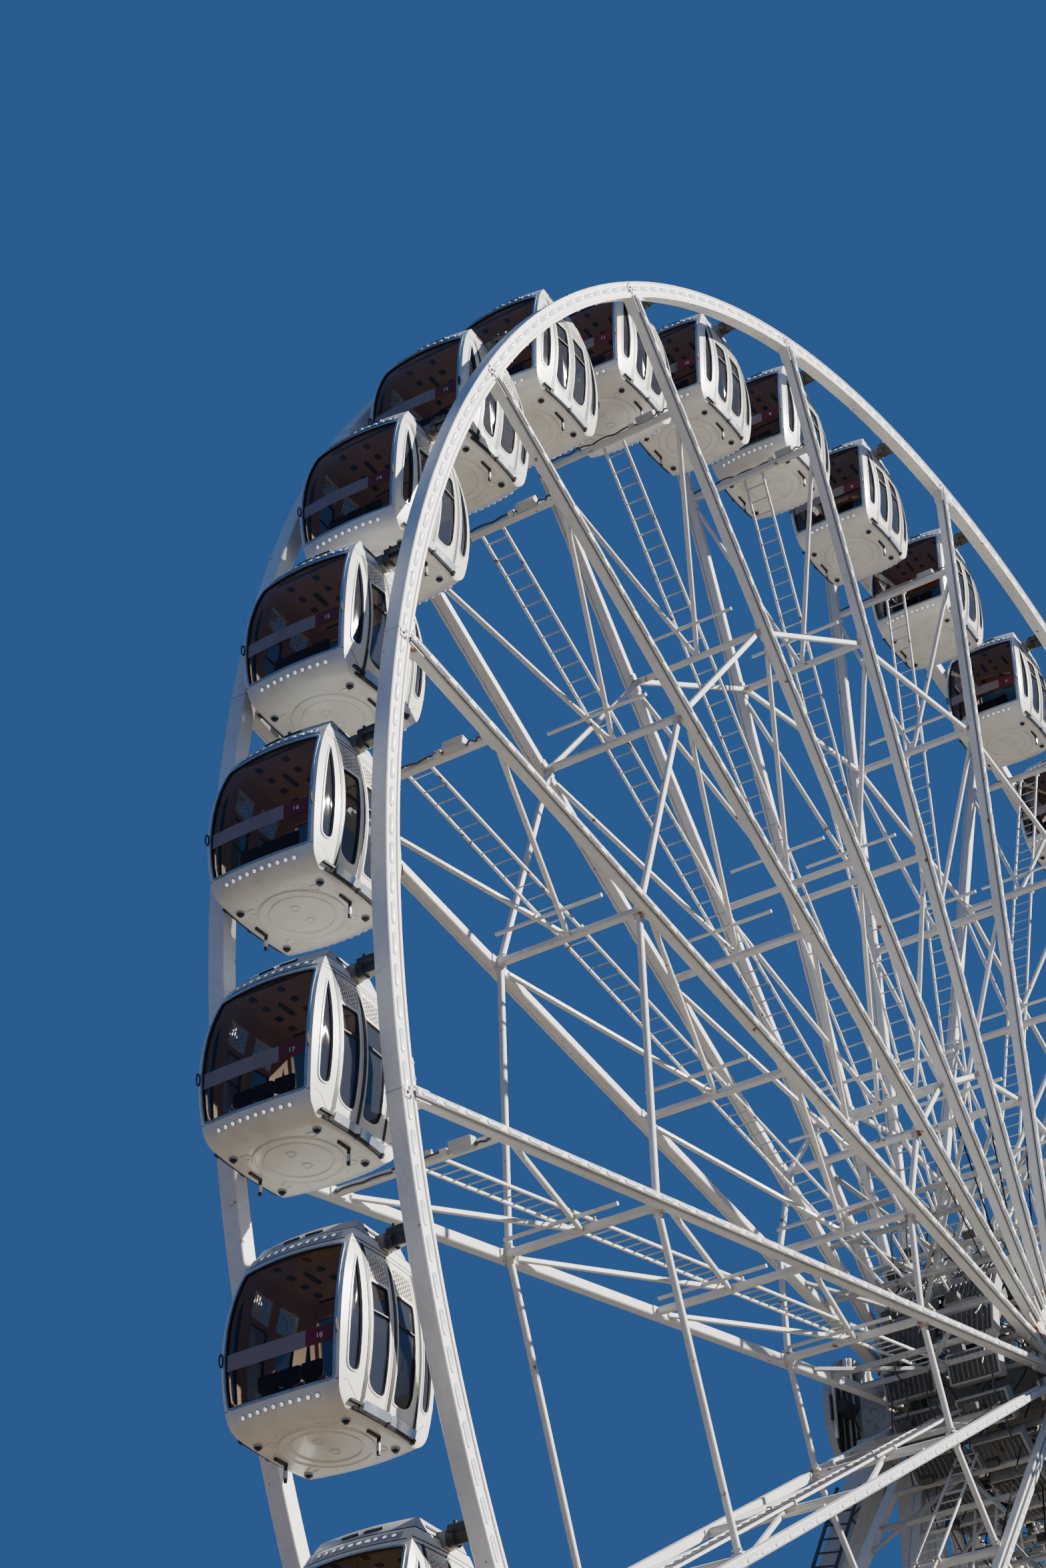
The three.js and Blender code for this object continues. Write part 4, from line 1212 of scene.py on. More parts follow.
widest = 2 * float(half_width(LEVELS).max())
print("cabin", round(widest, 2), "m wide at its corner posts,", round(ROOF_Z - FLOOR_Z, 2), "m tall")

# %% [markdown]
# A window is cut by joining two closed outlines that have the same number of points: the edge of the
# wall's strip outside and the window inside. Further outlines, grown or shrunk a little and raised
# or sunk a little, give the blue-grey frame, the rubber, the reveal and the lining. A Boolean cut
# would do it too, but would leave long thin triangles across the bulging wall.

# %% Windows
SHELL, TRIM, RUBBER, LINING, DARK, LENS, SILVER, STEEL, FRAME, SEAT, HANGER = range(11)
SIDE_PROFILE = (
    (0.037, 0.0, TRIM), (0.034, -0.007, TRIM), (0.004, -0.007, RUBBER),
    (-0.01, 0.004, RUBBER), (-0.01, 0.028, LINING), (0.0, LINING_INSET, LINING),
)
CORNER_PROFILE = (
    (0.034, -0.004, FRAME), (0.03, -0.014, FRAME), (0.012, -0.014, RUBBER),
    (-0.005, 0.004, RUBBER), (-0.005, LINING_INSET, LINING),
)
LEAF_PROFILE = (
    (0.03, 0.0, SHELL), (0.026, -0.009, SHELL), (0.008, -0.009, RUBBER),
    (-0.004, 0.006, RUBBER), (-0.004, LINING_INSET, LINING),
)
SIDE_GLASS_INSET, SIDE_GLASS_LOW, SIDE_GLASS_HIGH, SIDE_GLASS_RADIUS = 0.083, -2.09, -0.285, 0.03
ARCH_HALF, ARCH_Z, SILL_ARCH, HEAD_ARCH = 0.78, -1.2, -0.045, 0.03
CORNER_GLASS_LOW, CORNER_GLASS_HIGH = -1.95, -0.42
CORNER_POST_WIDTH, CORNER_POST_SLANT, CORNER_GLASS_END = 0.155, 0.01, -0.65
CORNER_RADII = (0.07, 0.07, 0.02, 0.02)
LEAF_GLASS = {-1: (-0.46, -0.15), 1: (0.045, 0.41)}
LEAF_GLASS_LOW, LEAF_GLASS_HIGH = -2.1, -0.72
LEAF_RADII = {-1: (0.2, 0.06, 0.02, 0.02), 1: (0.06, 0.2, 0.02, 0.02)}
ARC_POINTS = 7
PANE_FRONT, PANE_BACK = 0.014, 0.022
VENTS = {-1: (-0.445, -0.085), 1: (0.06, 0.45)}
VENT_LOW, VENT_HIGH, VENT_RADIUS = -0.655, -0.33, 0.01
VENT_PROFILE = ((0.0, 0.0, SHELL), (0.0, LINING_INSET, LINING))


def grow(outline, distance):
    """A closed outline moved outwards by a distance."""
    along = np.roll(outline, -1, axis=0) - np.roll(outline, 1, axis=0)
    return outline + distance * unit(np.stack([along[:, 1], -along[:, 0]], axis=-1))


def strip_border(edges, strip, steps, levels, inset=0.0):
    """The edge of one strip of a wall, counter-clockwise from its lower left corner."""
    across = np.arange(steps) / steps
    left, right = edges(levels, inset)[strip:strip + 2]
    rows = [
        (left[0] + across * (right[0] - left[0]), np.full(steps, levels[0])),
        (right[:-1], levels[:-1]),
        (right[-1] - across * (right[-1] - left[-1]), np.full(steps, levels[-1])),
        (left[:0:-1], levels[:0:-1]),
    ]
    return np.concatenate([np.stack(row, axis=-1) for row in rows])


def window_outline(left, right, low, high, radii, steps, levels):
    """A window, counter-clockwise from the middle of its lower left corner. left and right give its
    edges at each height, and radii round its lower left, lower right, upper right and upper left."""
    middle = (low + high) / 2
    width = float(right(middle) - left(middle))
    arc = np.linspace(0, math.pi / 2, ARC_POINTS)
    corners = []
    for turn, (s, z, radius) in enumerate(zip((0, width, width, 0), (low, low, high, high), radii)):
        angles = arc + math.pi + turn * math.pi / 2
        centre = (s - math.copysign(radius, s - width / 2), z - math.copysign(radius, z - middle))
        corners.append(centre + radius * np.stack([np.cos(angles), np.sin(angles)], axis=-1))
    curve = np.roll(np.concatenate(corners), -(ARC_POINTS // 2), axis=0)
    curve = np.vstack([curve, curve[:1]])
    length = np.append(0.0, np.cumsum(np.linalg.norm(np.diff(curve, axis=0), axis=1)))
    splits = length[::ARC_POINTS]
    counts = (steps, levels, steps, levels)
    stations = [a + (b - a) * eased(count)[:-1] for a, b, count in zip(splits, splits[1:], counts)]
    s, z = (np.interp(np.concatenate(stations), length, curve[:, axis]) for axis in (0, 1))
    return np.stack([left(z) + s / width * (right(z) - left(z)), z], axis=-1)


def side_window(steps=SIDE_STEPS, levels=len(LEVELS) - 1):
    """The panorama window: its sides follow the corner posts, its sill and head are gently arched."""
    edges = (lambda z: SIDE_GLASS_INSET - half_depth(z), lambda z: half_depth(z) - SIDE_GLASS_INSET)
    radii = [SIDE_GLASS_RADIUS] * 4
    outline = window_outline(*edges, SIDE_GLASS_LOW, SIDE_GLASS_HIGH, radii, steps, levels)
    s, z = outline.T
    bend = np.where(z < ARCH_Z, SILL_ARCH, HEAD_ARCH) * (1 - (s / ARCH_HALF) ** 2)
    return np.stack([s, z + bend * np.abs(z - ARCH_Z)], axis=-1)


def corner_window(side, steps=5, levels=len(LEVELS) - 1):
    """The slim window beside a corner post: pointed at its head and round at its foot."""
    def outer(z):
        return CORNER_POST_WIDTH - half_width(z) + CORNER_POST_SLANT * z

    def inner(z):
        return CORNER_GLASS_END + 0.0 * z

    heights = (CORNER_GLASS_LOW, CORNER_GLASS_HIGH)
    outline = window_outline(outer, inner, *heights, CORNER_RADII, steps, levels)
    return outline if side < 0 else np.roll((outline * [-1.0, 1.0])[::-1], steps + 1, axis=0)


def upright_window(left, right, low, high, radii, steps, levels):
    """A window with straight upright sides."""
    edges = (lambda z: left + 0.0 * z, lambda z: right + 0.0 * z)
    return window_outline(*edges, low, high, radii, steps, levels)


def leaf_window(side, steps=6, levels=len(LEAF_LEVELS) - 1):
    """The window of a door leaf, with a wide rounding at its outer foot and a small one inside."""
    heights = (LEAF_GLASS_LOW, LEAF_GLASS_HIGH)
    return upright_window(*LEAF_GLASS[side], *heights, LEAF_RADII[side], steps, levels)


def pierced_strip(wall, edges, strip, steps, levels, outline, profile):
    """One strip of a wall with a framed window: skin, frame, rubber, reveal and lining."""
    shape = Shape()
    rings = [(strip_border(edges, strip, steps, levels), 0.0, SHELL)]
    rings += [(grow(outline, distance), inset, finish) for distance, inset, finish in profile]
    rings.append((strip_border(edges, strip, steps, levels, LINING_INSET), LINING_INSET, LINING))
    for (first, inset, finish), (second, next_inset, _) in zip(rings, rings[1:]):
        shape.grid(np.array([wall(*second.T, next_inset), wall(*first.T, inset)]), finish, wrap_v=True)
    return shape


def pane(wall, outline, rings, finish):
    """A closed sheet of glass, bent with its wall."""
    middle = (outline.max(axis=0) + outline.min(axis=0)) / 2
    shares = np.linspace(0.02, 1.0, rings)
    sheets = [middle + share * (outline - middle) for share in shares]
    points = [wall(*sheet.T, PANE_FRONT) for sheet in sheets]
    points += [wall(*sheet.T, PANE_BACK) for sheet in sheets[::-1]]
    shape = Shape().grid(np.array(points), finish, wrap_v=True)
    n, last = len(outline), (2 * rings - 1) * len(outline)
    return shape.join(np.array([np.arange(n), last + np.arange(n)[::-1]]))


def half_walls():
    """The side wall at -X and the door wall at -Y, each with its windows."""
    shape = pierced_strip(side_wall, side_edges, 0, SIDE_STEPS, LEVELS, side_window(), SIDE_PROFILE)
    for side, corner, leaf in ((-1, 0, 1), (1, 3, 2)):
        pierced = functools.partial(pierced_strip, door_wall, door_edges)
        shape.plus(pierced(corner, DOOR_STEPS[corner], LEVELS, corner_window(side), CORNER_PROFILE))
        shape.plus(pierced(leaf, DOOR_STEPS[leaf], LEAF_LEVELS, leaf_window(side), LEAF_PROFILE))
        steps, levels = DOOR_STEPS[leaf], len(VENT_LEVELS) - 1
        radii = [VENT_RADIUS] * 4
        vent = upright_window(*VENTS[side], VENT_LOW, VENT_HIGH, radii, steps, levels)
        shape.plus(pierced(leaf, steps, VENT_LEVELS, vent, VENT_PROFILE))
    return shape


print("points round a side window", len(side_window()))

# %% [markdown]
# Small repeated parts are stamps: a lamp, a screw, a bracket pin. Each is turned from a short
# profile like a piece on a lathe, and then set on the bulging wall with its own turn. Seals, bars
# and seams are ribs, which follow a path on the wall with a small rectangular section.

# %% Stamps and ribs on the cabin
DOWNWARD = np.array([np.diag([1.0, -1.0, -1.0])])


def turned(profile, finishes, sides=10):
    """A round stamp about local Z. profile is (radius, height) from its foot to its closed top."""
    shape = Shape()
    angles = np.arange(sides) * 2 * math.pi / sides
    circle = np.stack([np.cos(angles), np.sin(angles), np.zeros(sides)], axis=-1)
    rings = np.array([radius * circle + [0.0, 0.0, height] for radius, height in profile])
    for ring, next_ring, finish in zip(rings, rings[1:], finishes):
        shape.grid(np.array([next_ring, ring]), finish, wrap_v=True)
    return shape.add(rings[-1], np.arange(sides)[None], finishes[-1])


def seats_on(wall, s, z, inset=0.0):
    """Turn matrices (right, up, out) and places for stamps on a wall."""
    reach = 0.002
    right = unit(wall(s + reach, z, inset) - wall(s - reach, z, inset))
    up = wall(s, z + reach, inset) - wall(s, z - reach, inset)
    out = unit(np.cross(right, up))
    return np.stack([right, np.cross(out, right), out], axis=-1), wall(s, z, inset)


def rib(shape, wall, path, width, lift, finish, foot=0.002):
    """A closed bar along a path on a wall, width wide, from foot below the skin to lift above it."""
    path = np.asarray(path, float)
    along = unit(np.gradient(path, axis=0))
    left = np.stack([-along[:, 1], along[:, 0]], axis=-1) * width / 2
    section = ((-1, -lift), (1, -lift), (1, foot), (-1, foot))
    points = np.stack([wall(*(path + side * left).T, inset) for side, inset in section], axis=1)
    shape.grid(points, finish, wrap_v=True)
    last = 4 * (len(path) - 1)
    shape.join(np.array([[3, 2, 1, 0], [last, last + 1, last + 2, last + 3]]))


def upright_path(s, low, high, steps=9):
    """A path that rises at a constant place s."""
    return np.stack([np.full(steps + 1, s), np.linspace(low, high, steps + 1)], axis=-1)


def level_path(left, right, z, steps):
    """A path that runs to the right at height z."""
    return np.stack([np.linspace(left, right, steps + 1), np.full(steps + 1, z)], axis=-1)


def on_wall(shape, wall, stamp, s, z, inset=0.0):
    """Sets a stamp at each place (s, z) of a wall."""
    s, z = np.broadcast_arrays(np.asarray(s, float), np.asarray(z, float))
    turns, places = seats_on(wall, s.ravel(), z.ravel(), inset)
    shape.repeat(stamp, turns, places)


SCREW = turned([(0.009, -0.001), (0.007, 0.005)], [DARK, DARK], 4)
LAMP = turned([(0.04, -0.003), (0.035, 0.014), (0.028, 0.009)], [STEEL, STEEL, LENS], 8)
LAMP_PLACES = np.linspace(-0.54, 0.54, 10)
print("screw faces", sum(len(faces) for _, faces, _ in SCREW.sheets))

# %% [markdown]
# The door wall has two leaves between three black rubber seals. A leaf has an opening upper light,
# a ventilation panel of staggered slots and rows of screws. Below stand a polished kick plate and a
# black rail. The panel is a real grille of thin bars in a hole, because from below its slots show
# bright against the sky through the opposite window.

# %% Door wall
SEAL_WIDTH = 0.05
SEAL_LOW, SEAL_HIGH = -2.3, -0.2
VENT_COLUMNS, VENT_ROWS = 8, 5
VENT_BAR = 0.013
LEAF_BORDERS = DOOR_SEAMS[[0, 1, 1, 2]] + [0.04, -0.05, 0.04, -0.05]
OPENING_Z = -1.1
SCREW_ROW_Z, SCREWS_IN_ROW = -0.3, 5
LEAF_SCREWS, CORNER_SCREWS = (0.018, 14), (0.026, 10)
KICK_PLATES = ((-0.44, 0.05), (0.08, 0.61))
KICK_Z, KICK_HEIGHT, KICK_LIFT = -2.293, 0.115, 0.016
STOP_Z, STOP_SIZE, STOP_LIFT = -2.372, 0.05, 0.04
DOOR_RAILS = (
    (-0.62, 0.62, -2.374, 10, 0.034, 0.024), (-0.7, -0.48, -2.31, 3, 0.032, 0.034),
    (-0.53, -0.47, -2.345, 1, 0.08, 0.03), (-0.66, 0.66, -0.215, 8, 0.016, 0.002),
    (-0.66, 0.66, -0.145, 8, 0.016, 0.002),
)
FOOT_SEAM = (
    (0.84, -2.11), (0.805, -2.098), (0.765, -2.102), (0.706, -2.161), (0.613, -2.248), (0.58, -2.291),
)


def grille(shape, left, right):
    """The bars of a leaf's ventilation panel. In every second column they lie half a slot higher."""
    pitch = (VENT_HIGH - VENT_LOW) / VENT_ROWS
    columns = np.linspace(left, right, VENT_COLUMNS + 1)
    for column in columns[1:-1]:
        path = upright_path(column, VENT_LOW, VENT_HIGH, 1)
        rib(shape, door_wall, path, VENT_BAR, -0.001, SHELL, 0.012)
    s, row = np.meshgrid((columns[:-1] + columns[1:]) / 2, np.arange(1, VENT_ROWS + 1), indexing="ij")
    z = VENT_LOW + (row - 0.5 * (np.arange(VENT_COLUMNS) % 2)[:, None]) * pitch
    inside = z < VENT_HIGH - VENT_BAR
    half = (columns[1] - columns[0] - VENT_BAR) / 2
    middle = np.array([half, 0.0, -0.006])
    section = box_section(VENT_BAR, 0.008, 0.0)[::2]
    bar = Shape().sweep(middle * [-1.0, 1.0, 1.0], middle, section, UP, SHELL)
    on_wall(shape, door_wall, bar, s[inside], z[inside])


def screw_places(outline, distance, count):
    """Evenly chosen places along an outline that is grown by a distance."""
    around = grow(outline, distance)
    return around[np.linspace(0, len(around), count, endpoint=False).astype(int)].T


def door_details():
    """Seals, borders of the leaves, grilles, screws, kick plates and rails on one door wall."""
    shape = Shape()
    for seam in DOOR_SEAMS:
        rib(shape, door_wall, upright_path(seam, SEAL_LOW, SEAL_HIGH), SEAL_WIDTH, 0.007, DARK)
    for s in LEAF_BORDERS:
        rib(shape, door_wall, upright_path(s, SEAL_LOW + 0.08, SEAL_HIGH - 0.06), 0.012, 0.008, SHELL)
    for side in (-1, 1):
        left, right = VENTS[side]
        grille(shape, left, right)
        opening = level_path(*LEAF_GLASS[side], OPENING_Z, 2)
        rib(shape, door_wall, opening, 0.022, 0.004, RUBBER, 0.02)
        on_wall(shape, door_wall, SCREW, *screw_places(leaf_window(side), *LEAF_SCREWS))
        on_wall(shape, door_wall, SCREW, np.linspace(left, right, SCREWS_IN_ROW), SCREW_ROW_Z)
        on_wall(shape, door_wall, SCREW, *screw_places(corner_window(side), *CORNER_SCREWS))
        seam = np.array(FOOT_SEAM) * [side, 1.0]
        rib(shape, door_wall, seam[::side], 0.009, 0.001, DARK)
    for left, right in KICK_PLATES:
        plate = level_path(left, right, KICK_Z, 6)
        rib(shape, door_wall, plate, KICK_HEIGHT, KICK_LIFT, SILVER)
        stop = level_path(right - STOP_SIZE, right, STOP_Z, 2)
        rib(shape, door_wall, stop, STOP_SIZE, STOP_LIFT, DARK)
    for left, right, z, steps, width, lift in DOOR_RAILS:
        rib(shape, door_wall, level_path(left, right, z, steps), width, lift, DARK)
    return shape


# %% [markdown]
# Each side wall has ten round lamps below its window, ten more under the visor of the roof, screws
# in the window's frame and black handles at the corner posts.

# %% Side wall
LOWER_LAMP_Z, ROOF_LAMP_Z = -2.267, -0.09
LAMP_STRIP = {"width": 0.1, "lift": 0.002, "foot": 0.01}
ROOF_SEAM_Z = -0.165
SIDE_SCREWS, SIDE_SCREW_INSET = (0.019, 22), -0.006
HANDLE_PLACE, HANDLE_HEIGHT, HANDLE_POINTS = (0.845, -1.48), 0.17, 9
HANDLE_OFF, HANDLE_HALF, HANDLE_RADIUS = 0.03, 0.028, 0.012
POST_SEAM, POST_SEAM_Z = (0.785, 0.825), -2.118


def handle(shape, s, z):
    """A black loop on a corner post, to hold on to from the platform."""
    angle = np.arange(HANDLE_POINTS) * 2 * math.pi / HANDLE_POINTS
    up, out = np.sin(angle) * HANDLE_HEIGHT / 2, HANDLE_OFF + HANDLE_HALF * np.cos(angle)
    turns, places = seats_on(side_wall, np.array([s]), np.array([z]))
    path = np.stack([0.0 * angle, up, out], axis=-1) @ turns[0].T + places[0]
    section = round_section(HANDLE_RADIUS, 4)
    shape.sweep(path, np.roll(path, -1, axis=0), section, turns[0][:, 0], DARK)


def side_details():
    """Lamps, screws, seams and handles on one side wall."""
    shape = Shape()
    on_wall(shape, side_wall, LAMP, LAMP_PLACES, LOWER_LAMP_Z)
    on_wall(shape, side_wall, LAMP, LAMP_PLACES, ROOF_LAMP_Z, -0.002)
    screws = screw_places(side_window(), *SIDE_SCREWS)
    on_wall(shape, side_wall, SCREW, *screws, SIDE_SCREW_INSET)
    strip = level_path(-0.64, 0.64, ROOF_LAMP_Z, 10)
    rib(shape, side_wall, strip, finish=STEEL, **LAMP_STRIP)
    rib(shape, side_wall, level_path(-0.72, 0.72, ROOF_SEAM_Z, 10), 0.012, 0.003, DARK)
    for side in (-1, 1):
        handle(shape, side * HANDLE_PLACE[0], HANDLE_PLACE[1])
        left, right = sorted(side * s for s in POST_SEAM)
        rib(shape, side_wall, level_path(left, right, POST_SEAM_Z, 2), 0.009, 0.001, DARK)
    return shape

# %% [markdown]
# Below the windows the shell rounds off into the floor pan. Its underside is what people on the
# ground see best: a raised double ring, dimples, four rubber bosses and two brackets with a pin that
# stop the cabin at the platform. Above the windows come the visor with its lamps, a dark joint and
# the roof cap, and at the pivot a dark box beam reaches out to the rim on both sides.

# %% Floor pan, roof and cabin body
RING_PROFILE = ((0.59, 0.0), (0.575, -0.022), (0.555, -0.022), (0.54, -0.004), (0.45, -0.004),
                (0.44, -0.018), (0.425, -0.018), (0.41, 0.004), (0.05, 0.004))
ROOF_RINGS = ((ROOF_Z, 0.03, STEEL), (0.185, 0.012, STEEL), (0.03, 0.012, DARK), (0.03, 0.03, DARK),
              (0.004, 0.03, DARK), (0.004, 0.0, SHELL))
DOME_RINGS = ((0.4, 0.03), (0.85, 0.015))
DIMPLE = ((0.075, -0.005), (0.068, 0.014), (0.055, 0.014), (0.045, -0.002))
BOSS = ((0.06, -0.004), (0.055, 0.03), (0.035, 0.034), (0.03, 0.06))
INNER_DIMPLE_X, OUTER_DIMPLE_AT, BOSS_AT = 0.17, (0.42, 0.5), (0.5, 0.64)
PAN_SCREWS_X, PAN_SCREWS_Y = (-0.6, -0.3, 0.3, 0.6), (-0.3, 0.3)
BRACKET_Y, BRACKET_HALF, BRACKET_DROP = 0.68, 0.12, 0.02
BRACKET_PIN_X = 0.1
BRACKET_PIN = ((0.0, 0.1, 0.022, DARK), (0.1, 0.2, 0.028, SILVER), (0.2, 0.245, 0.024, DARK))
HANGER_ROOT, HANGER_END = 0.7, 0.875
HANGER_HALF, HANGER_HEIGHT = 0.09, 0.1
ROOF_SLOTS, ROOF_SLOT_Z, ROOF_SLOT_WIDTH = ((-0.3, -0.04), (0.04, 0.3)), 0.11, 0.034
CEILING_FITTINGS = (
    ((-0.42, -0.14, 0.14, 0.42), (-0.55, 0.05, 0.5), (0.05, 0.045, 0.012), 0.1),
    ((0.0,), (-0.25, 0.28), (0.17, 0.03, 0.02), 0.45),
    ((-0.58, 0.58), (0.0,), (0.012, 0.6, 0.02), 0.1),
)
BENCH_TOP = -1.98
CUSHIONS = ((0.42, 0.78, BENCH_TOP, -1.9), (0.72, 0.79, -1.9, -1.72))
CUSHION_PLACES, CUSHION_HALF = (-0.32, 0.0, 0.32), 0.15
BENCH_BASE, BENCH_HALF = (0.5, 0.7), 0.4


def hull():
    """The shell above and below the walls, as rings of points from the roof down to the floor."""
    shape = Shape()
    cap = perimeter(ROOF_Z, 0.03)
    domes = [cap * [share, share, 1.0] + UP * rise for share, rise in DOME_RINGS]
    shape.add(domes[0], np.arange(len(cap))[None], STEEL)
    shape.grid(np.array(domes + [cap]), STEEL, wrap_v=True)
    rings = [(perimeter(z, inset), finish) for z, inset, finish in ROOF_RINGS]
    rings.append((perimeter(WALL_HIGH), SHELL))
    for (upper, finish), (lower, _) in zip(rings, rings[1:]):
        shape.grid(np.array([upper, lower]), finish, wrap_v=True)
    turn = np.linspace(0, math.pi / 2, 6)
    foot = [perimeter(z) for z in WALL_LOW - (WALL_LOW - FLOOR_Z) * np.sin(turn)]
    angle = np.arctan2(foot[-1][:, 1], foot[-1][:, 0])
    circle = np.stack([np.cos(angle), np.sin(angle), 0 * angle], axis=-1)
    pan = [radius * circle + UP * (FLOOR_Z + rise) for radius, rise in RING_PROFILE]
    shape.grid(np.array(foot + pan), SHELL, wrap_v=True)
    shape.add(pan[-1], np.arange(len(circle))[None, ::-1], SHELL)
    return shape


def below(shape, stamp, places):
    """Sets a stamp under the floor at each (x, y)."""
    places = np.array([(x, y, FLOOR_Z) for x, y in places])
    shape.repeat(stamp, np.repeat(DOWNWARD, len(places), axis=0), places)


def four_corners(x, y):
    """(x, y) and its three mirror images."""
    return [(side * x, end * y) for end in (1, -1) for side in (1, -1)]


def underside():
    """Dimples, rubber bosses, screws, and the two brackets with their pins."""
    shape = Shape()
    dimple = turned(DIMPLE, [SHELL] * 4, 12)
    inner = [(INNER_DIMPLE_X, 0.0), (-INNER_DIMPLE_X, 0.0)]
    below(shape, dimple, inner + four_corners(*OUTER_DIMPLE_AT))
    below(shape, turned(BOSS, [STEEL, DARK, DARK, DARK], 10), four_corners(*BOSS_AT))
    below(shape, SCREW, [(x, y) for x in PAN_SCREWS_X for y in PAN_SCREWS_Y])
    for y in (-BRACKET_Y, BRACKET_Y):
        bar = np.array([[-BRACKET_HALF, y, FLOOR_Z - BRACKET_DROP]])
        shape.sweep(bar, bar * [-1, 1, 1], box_section(0.035, 0.04), UP, DARK)
        for top, foot, radius, finish in BRACKET_PIN:
            ends = [[BRACKET_PIN_X, y, FLOOR_Z - depth] for depth in (foot, top)]
            shape.sweep(*ends, round_section(radius, 8), (1.0, 0.0, 0.0), finish)
    return shape


def roof_details():
    """The box beams that carry the cabin, dark as painted shade, and dark slots round the roof:
    flat dark strips whose darkness is painted shade of openings.
    """
    shape = Shape()
    for y in (-1, 1):
        low, high = sorted((y * HANGER_ROOT, y * HANGER_END))
        corner = (HANGER_HALF, high, HANGER_HEIGHT)
        block(shape, (-HANGER_HALF, low, -HANGER_HEIGHT), corner, HANGER)
    for wall in (side_wall, door_wall):
        half = Shape()
        # The slots are flat dark strips; their darkness is painted shade of openings that are not cut.
        for left, right in ROOF_SLOTS:
            slot = level_path(left, right, ROOF_SLOT_Z, 4)
            rib(half, wall, slot, ROOF_SLOT_WIDTH, 0.001, DARK, 0.03)
        shape.plus(both_ends(half))
    return shape


def interior():
    """Floor, ceiling with vents, lamps and rails, and low benches with their backs to the windows."""
    shape = Shape()
    floor, ceiling = perimeter(WALL_LOW, LINING_INSET), perimeter(WALL_HIGH, LINING_INSET)
    shape.add(floor, np.arange(len(floor))[None], LINING)
    shape.add(ceiling, np.arange(len(ceiling))[None, ::-1], LINING)
    for columns, rows, half, cut in CEILING_FITTINGS:
        for x in columns:
            for y in rows:
                low = (x - half[0], y - half[1], WALL_HIGH - half[2])
                high = (x + half[0], y + half[1], WALL_HIGH)
                block(shape, low, high, DARK, cut)
    for side in (-1, 1):
        for near, far, low, high in CUSHIONS:
            low_x, high_x = sorted((side * near, side * far))
            for middle in CUSHION_PLACES:
                low_y, high_y = middle - CUSHION_HALF, middle + CUSHION_HALF
                block(shape, (low_x, low_y, low), (high_x, high_y, high), SEAT, 0.3)
        low_x, high_x = sorted(side * x for x in BENCH_BASE)
        block(shape, (low_x, -BENCH_HALF, WALL_LOW), (high_x, BENCH_HALF, BENCH_TOP), DARK)
    return shape


cabin_body = both_ends(half_walls().plus(door_details()).plus(side_details()))
cabin_body.plus(hull()).plus(underside()).plus(roof_details()).plus(interior())
print("sheets in a cabin", len(cabin_body.sheets))

# %% [markdown]
# The windows are smoked acrylic, thin closed sheets that let some light through. Across each
# panorama window runs a printed band, brown for the most part and dark red at its end, where the
# cabin's number stands. The real band also carries a name, which is left out.

# %% Glass, bands and numbers
SIDE_PANE_GAP, CORNER_PANE_GAP, LEAF_PANE_GAP = 0.009, 0.004, 0.002
TINTED, CLEARER = 0, 1
BAND_INSET, BAND_THICKNESS = 0.009, 0.003
BAND_HALF = 0.775
BAND_SPLIT = 0.43
BAND_TOP, BAND_FOOT = -1.475, -1.69
BAND_RISE = 0.055
BAND_STEPS = 7
BROWN, RED, WHITE = range(3)
NUMBER_SIZE, NUMBER_HALF_DEPTH = 0.092, 0.002
NUMBER_PLACE = (0.61, -1.585)
FIRST_CABIN_NUMBER = 7


def half_glass():
    """The panes of one side wall and one door wall."""
    shape = pane(side_wall, grow(side_window(4, 7), -SIDE_PANE_GAP), 4, TINTED)
    for side in (-1, 1):
        corner = grow(corner_window(side, 2, 6), -CORNER_PANE_GAP)
        leaf = grow(leaf_window(side, 3, 5), -LEAF_PANE_GAP)
        shape.plus(pane(door_wall, corner, 3, CLEARER)).plus(pane(door_wall, leaf, 2, CLEARER))
    return shape


def band_part(left, right, finish):
    """A stretch of the band, closed and thin, bent with the window. It rises towards the window's
    ends with the square of s."""
    s = np.linspace(left, right, BAND_STEPS + 1)
    rise = BAND_RISE * (s / BAND_HALF) ** 2
    back = BAND_INSET + BAND_THICKNESS
    edges = ((BAND_FOOT, BAND_INSET), (BAND_TOP, BAND_INSET), (BAND_TOP, back), (BAND_FOOT, back))
    points = np.stack([side_wall(s, z + rise, inset) for z, inset in edges], axis=1)
    shape = Shape().grid(points, finish, wrap_v=True)
    last = 4 * BAND_STEPS
    return shape.join(np.array([[3, 2, 1, 0], [last, last + 1, last + 2, last + 3]]))


def number_shape(number):
    """The number as thin letters on the window."""
    curve = bpy.data.curves.new("number", "FONT")
    curve.body = str(number)
    curve.size = NUMBER_SIZE
    curve.extrude = NUMBER_HALF_DEPTH
    curve.resolution_u = 3
    curve.align_x = "CENTER"
    text = bpy.data.objects.new("number", curve)
    mesh = bpy.data.meshes.new_from_object(text)
    points = np.empty(len(mesh.vertices) * 3)
    mesh.vertices.foreach_get("co", points)
    x, y, z = points.reshape(-1, 3).T
    shape = Shape()
    inset = BAND_INSET - NUMBER_HALF_DEPTH - z
    placed = side_wall(x + NUMBER_PLACE[0], y + NUMBER_PLACE[1], inset)
    faces = [list(face.vertices) for face in mesh.polygons]
    for count in sorted({len(face) for face in faces}):
        shape.add(placed, [face for face in faces if len(face) == count], WHITE)
    bpy.data.objects.remove(text)
    bpy.data.curves.remove(curve)
    bpy.data.meshes.remove(mesh)
    return shape


def cabin_number(name):
    """Cabins are numbered against the clock. The first one hangs to the right of the upright joint."""
    return (FIRST_CABIN_NUMBER - 1 - CABINS.index(name)) % len(CABINS) + 1


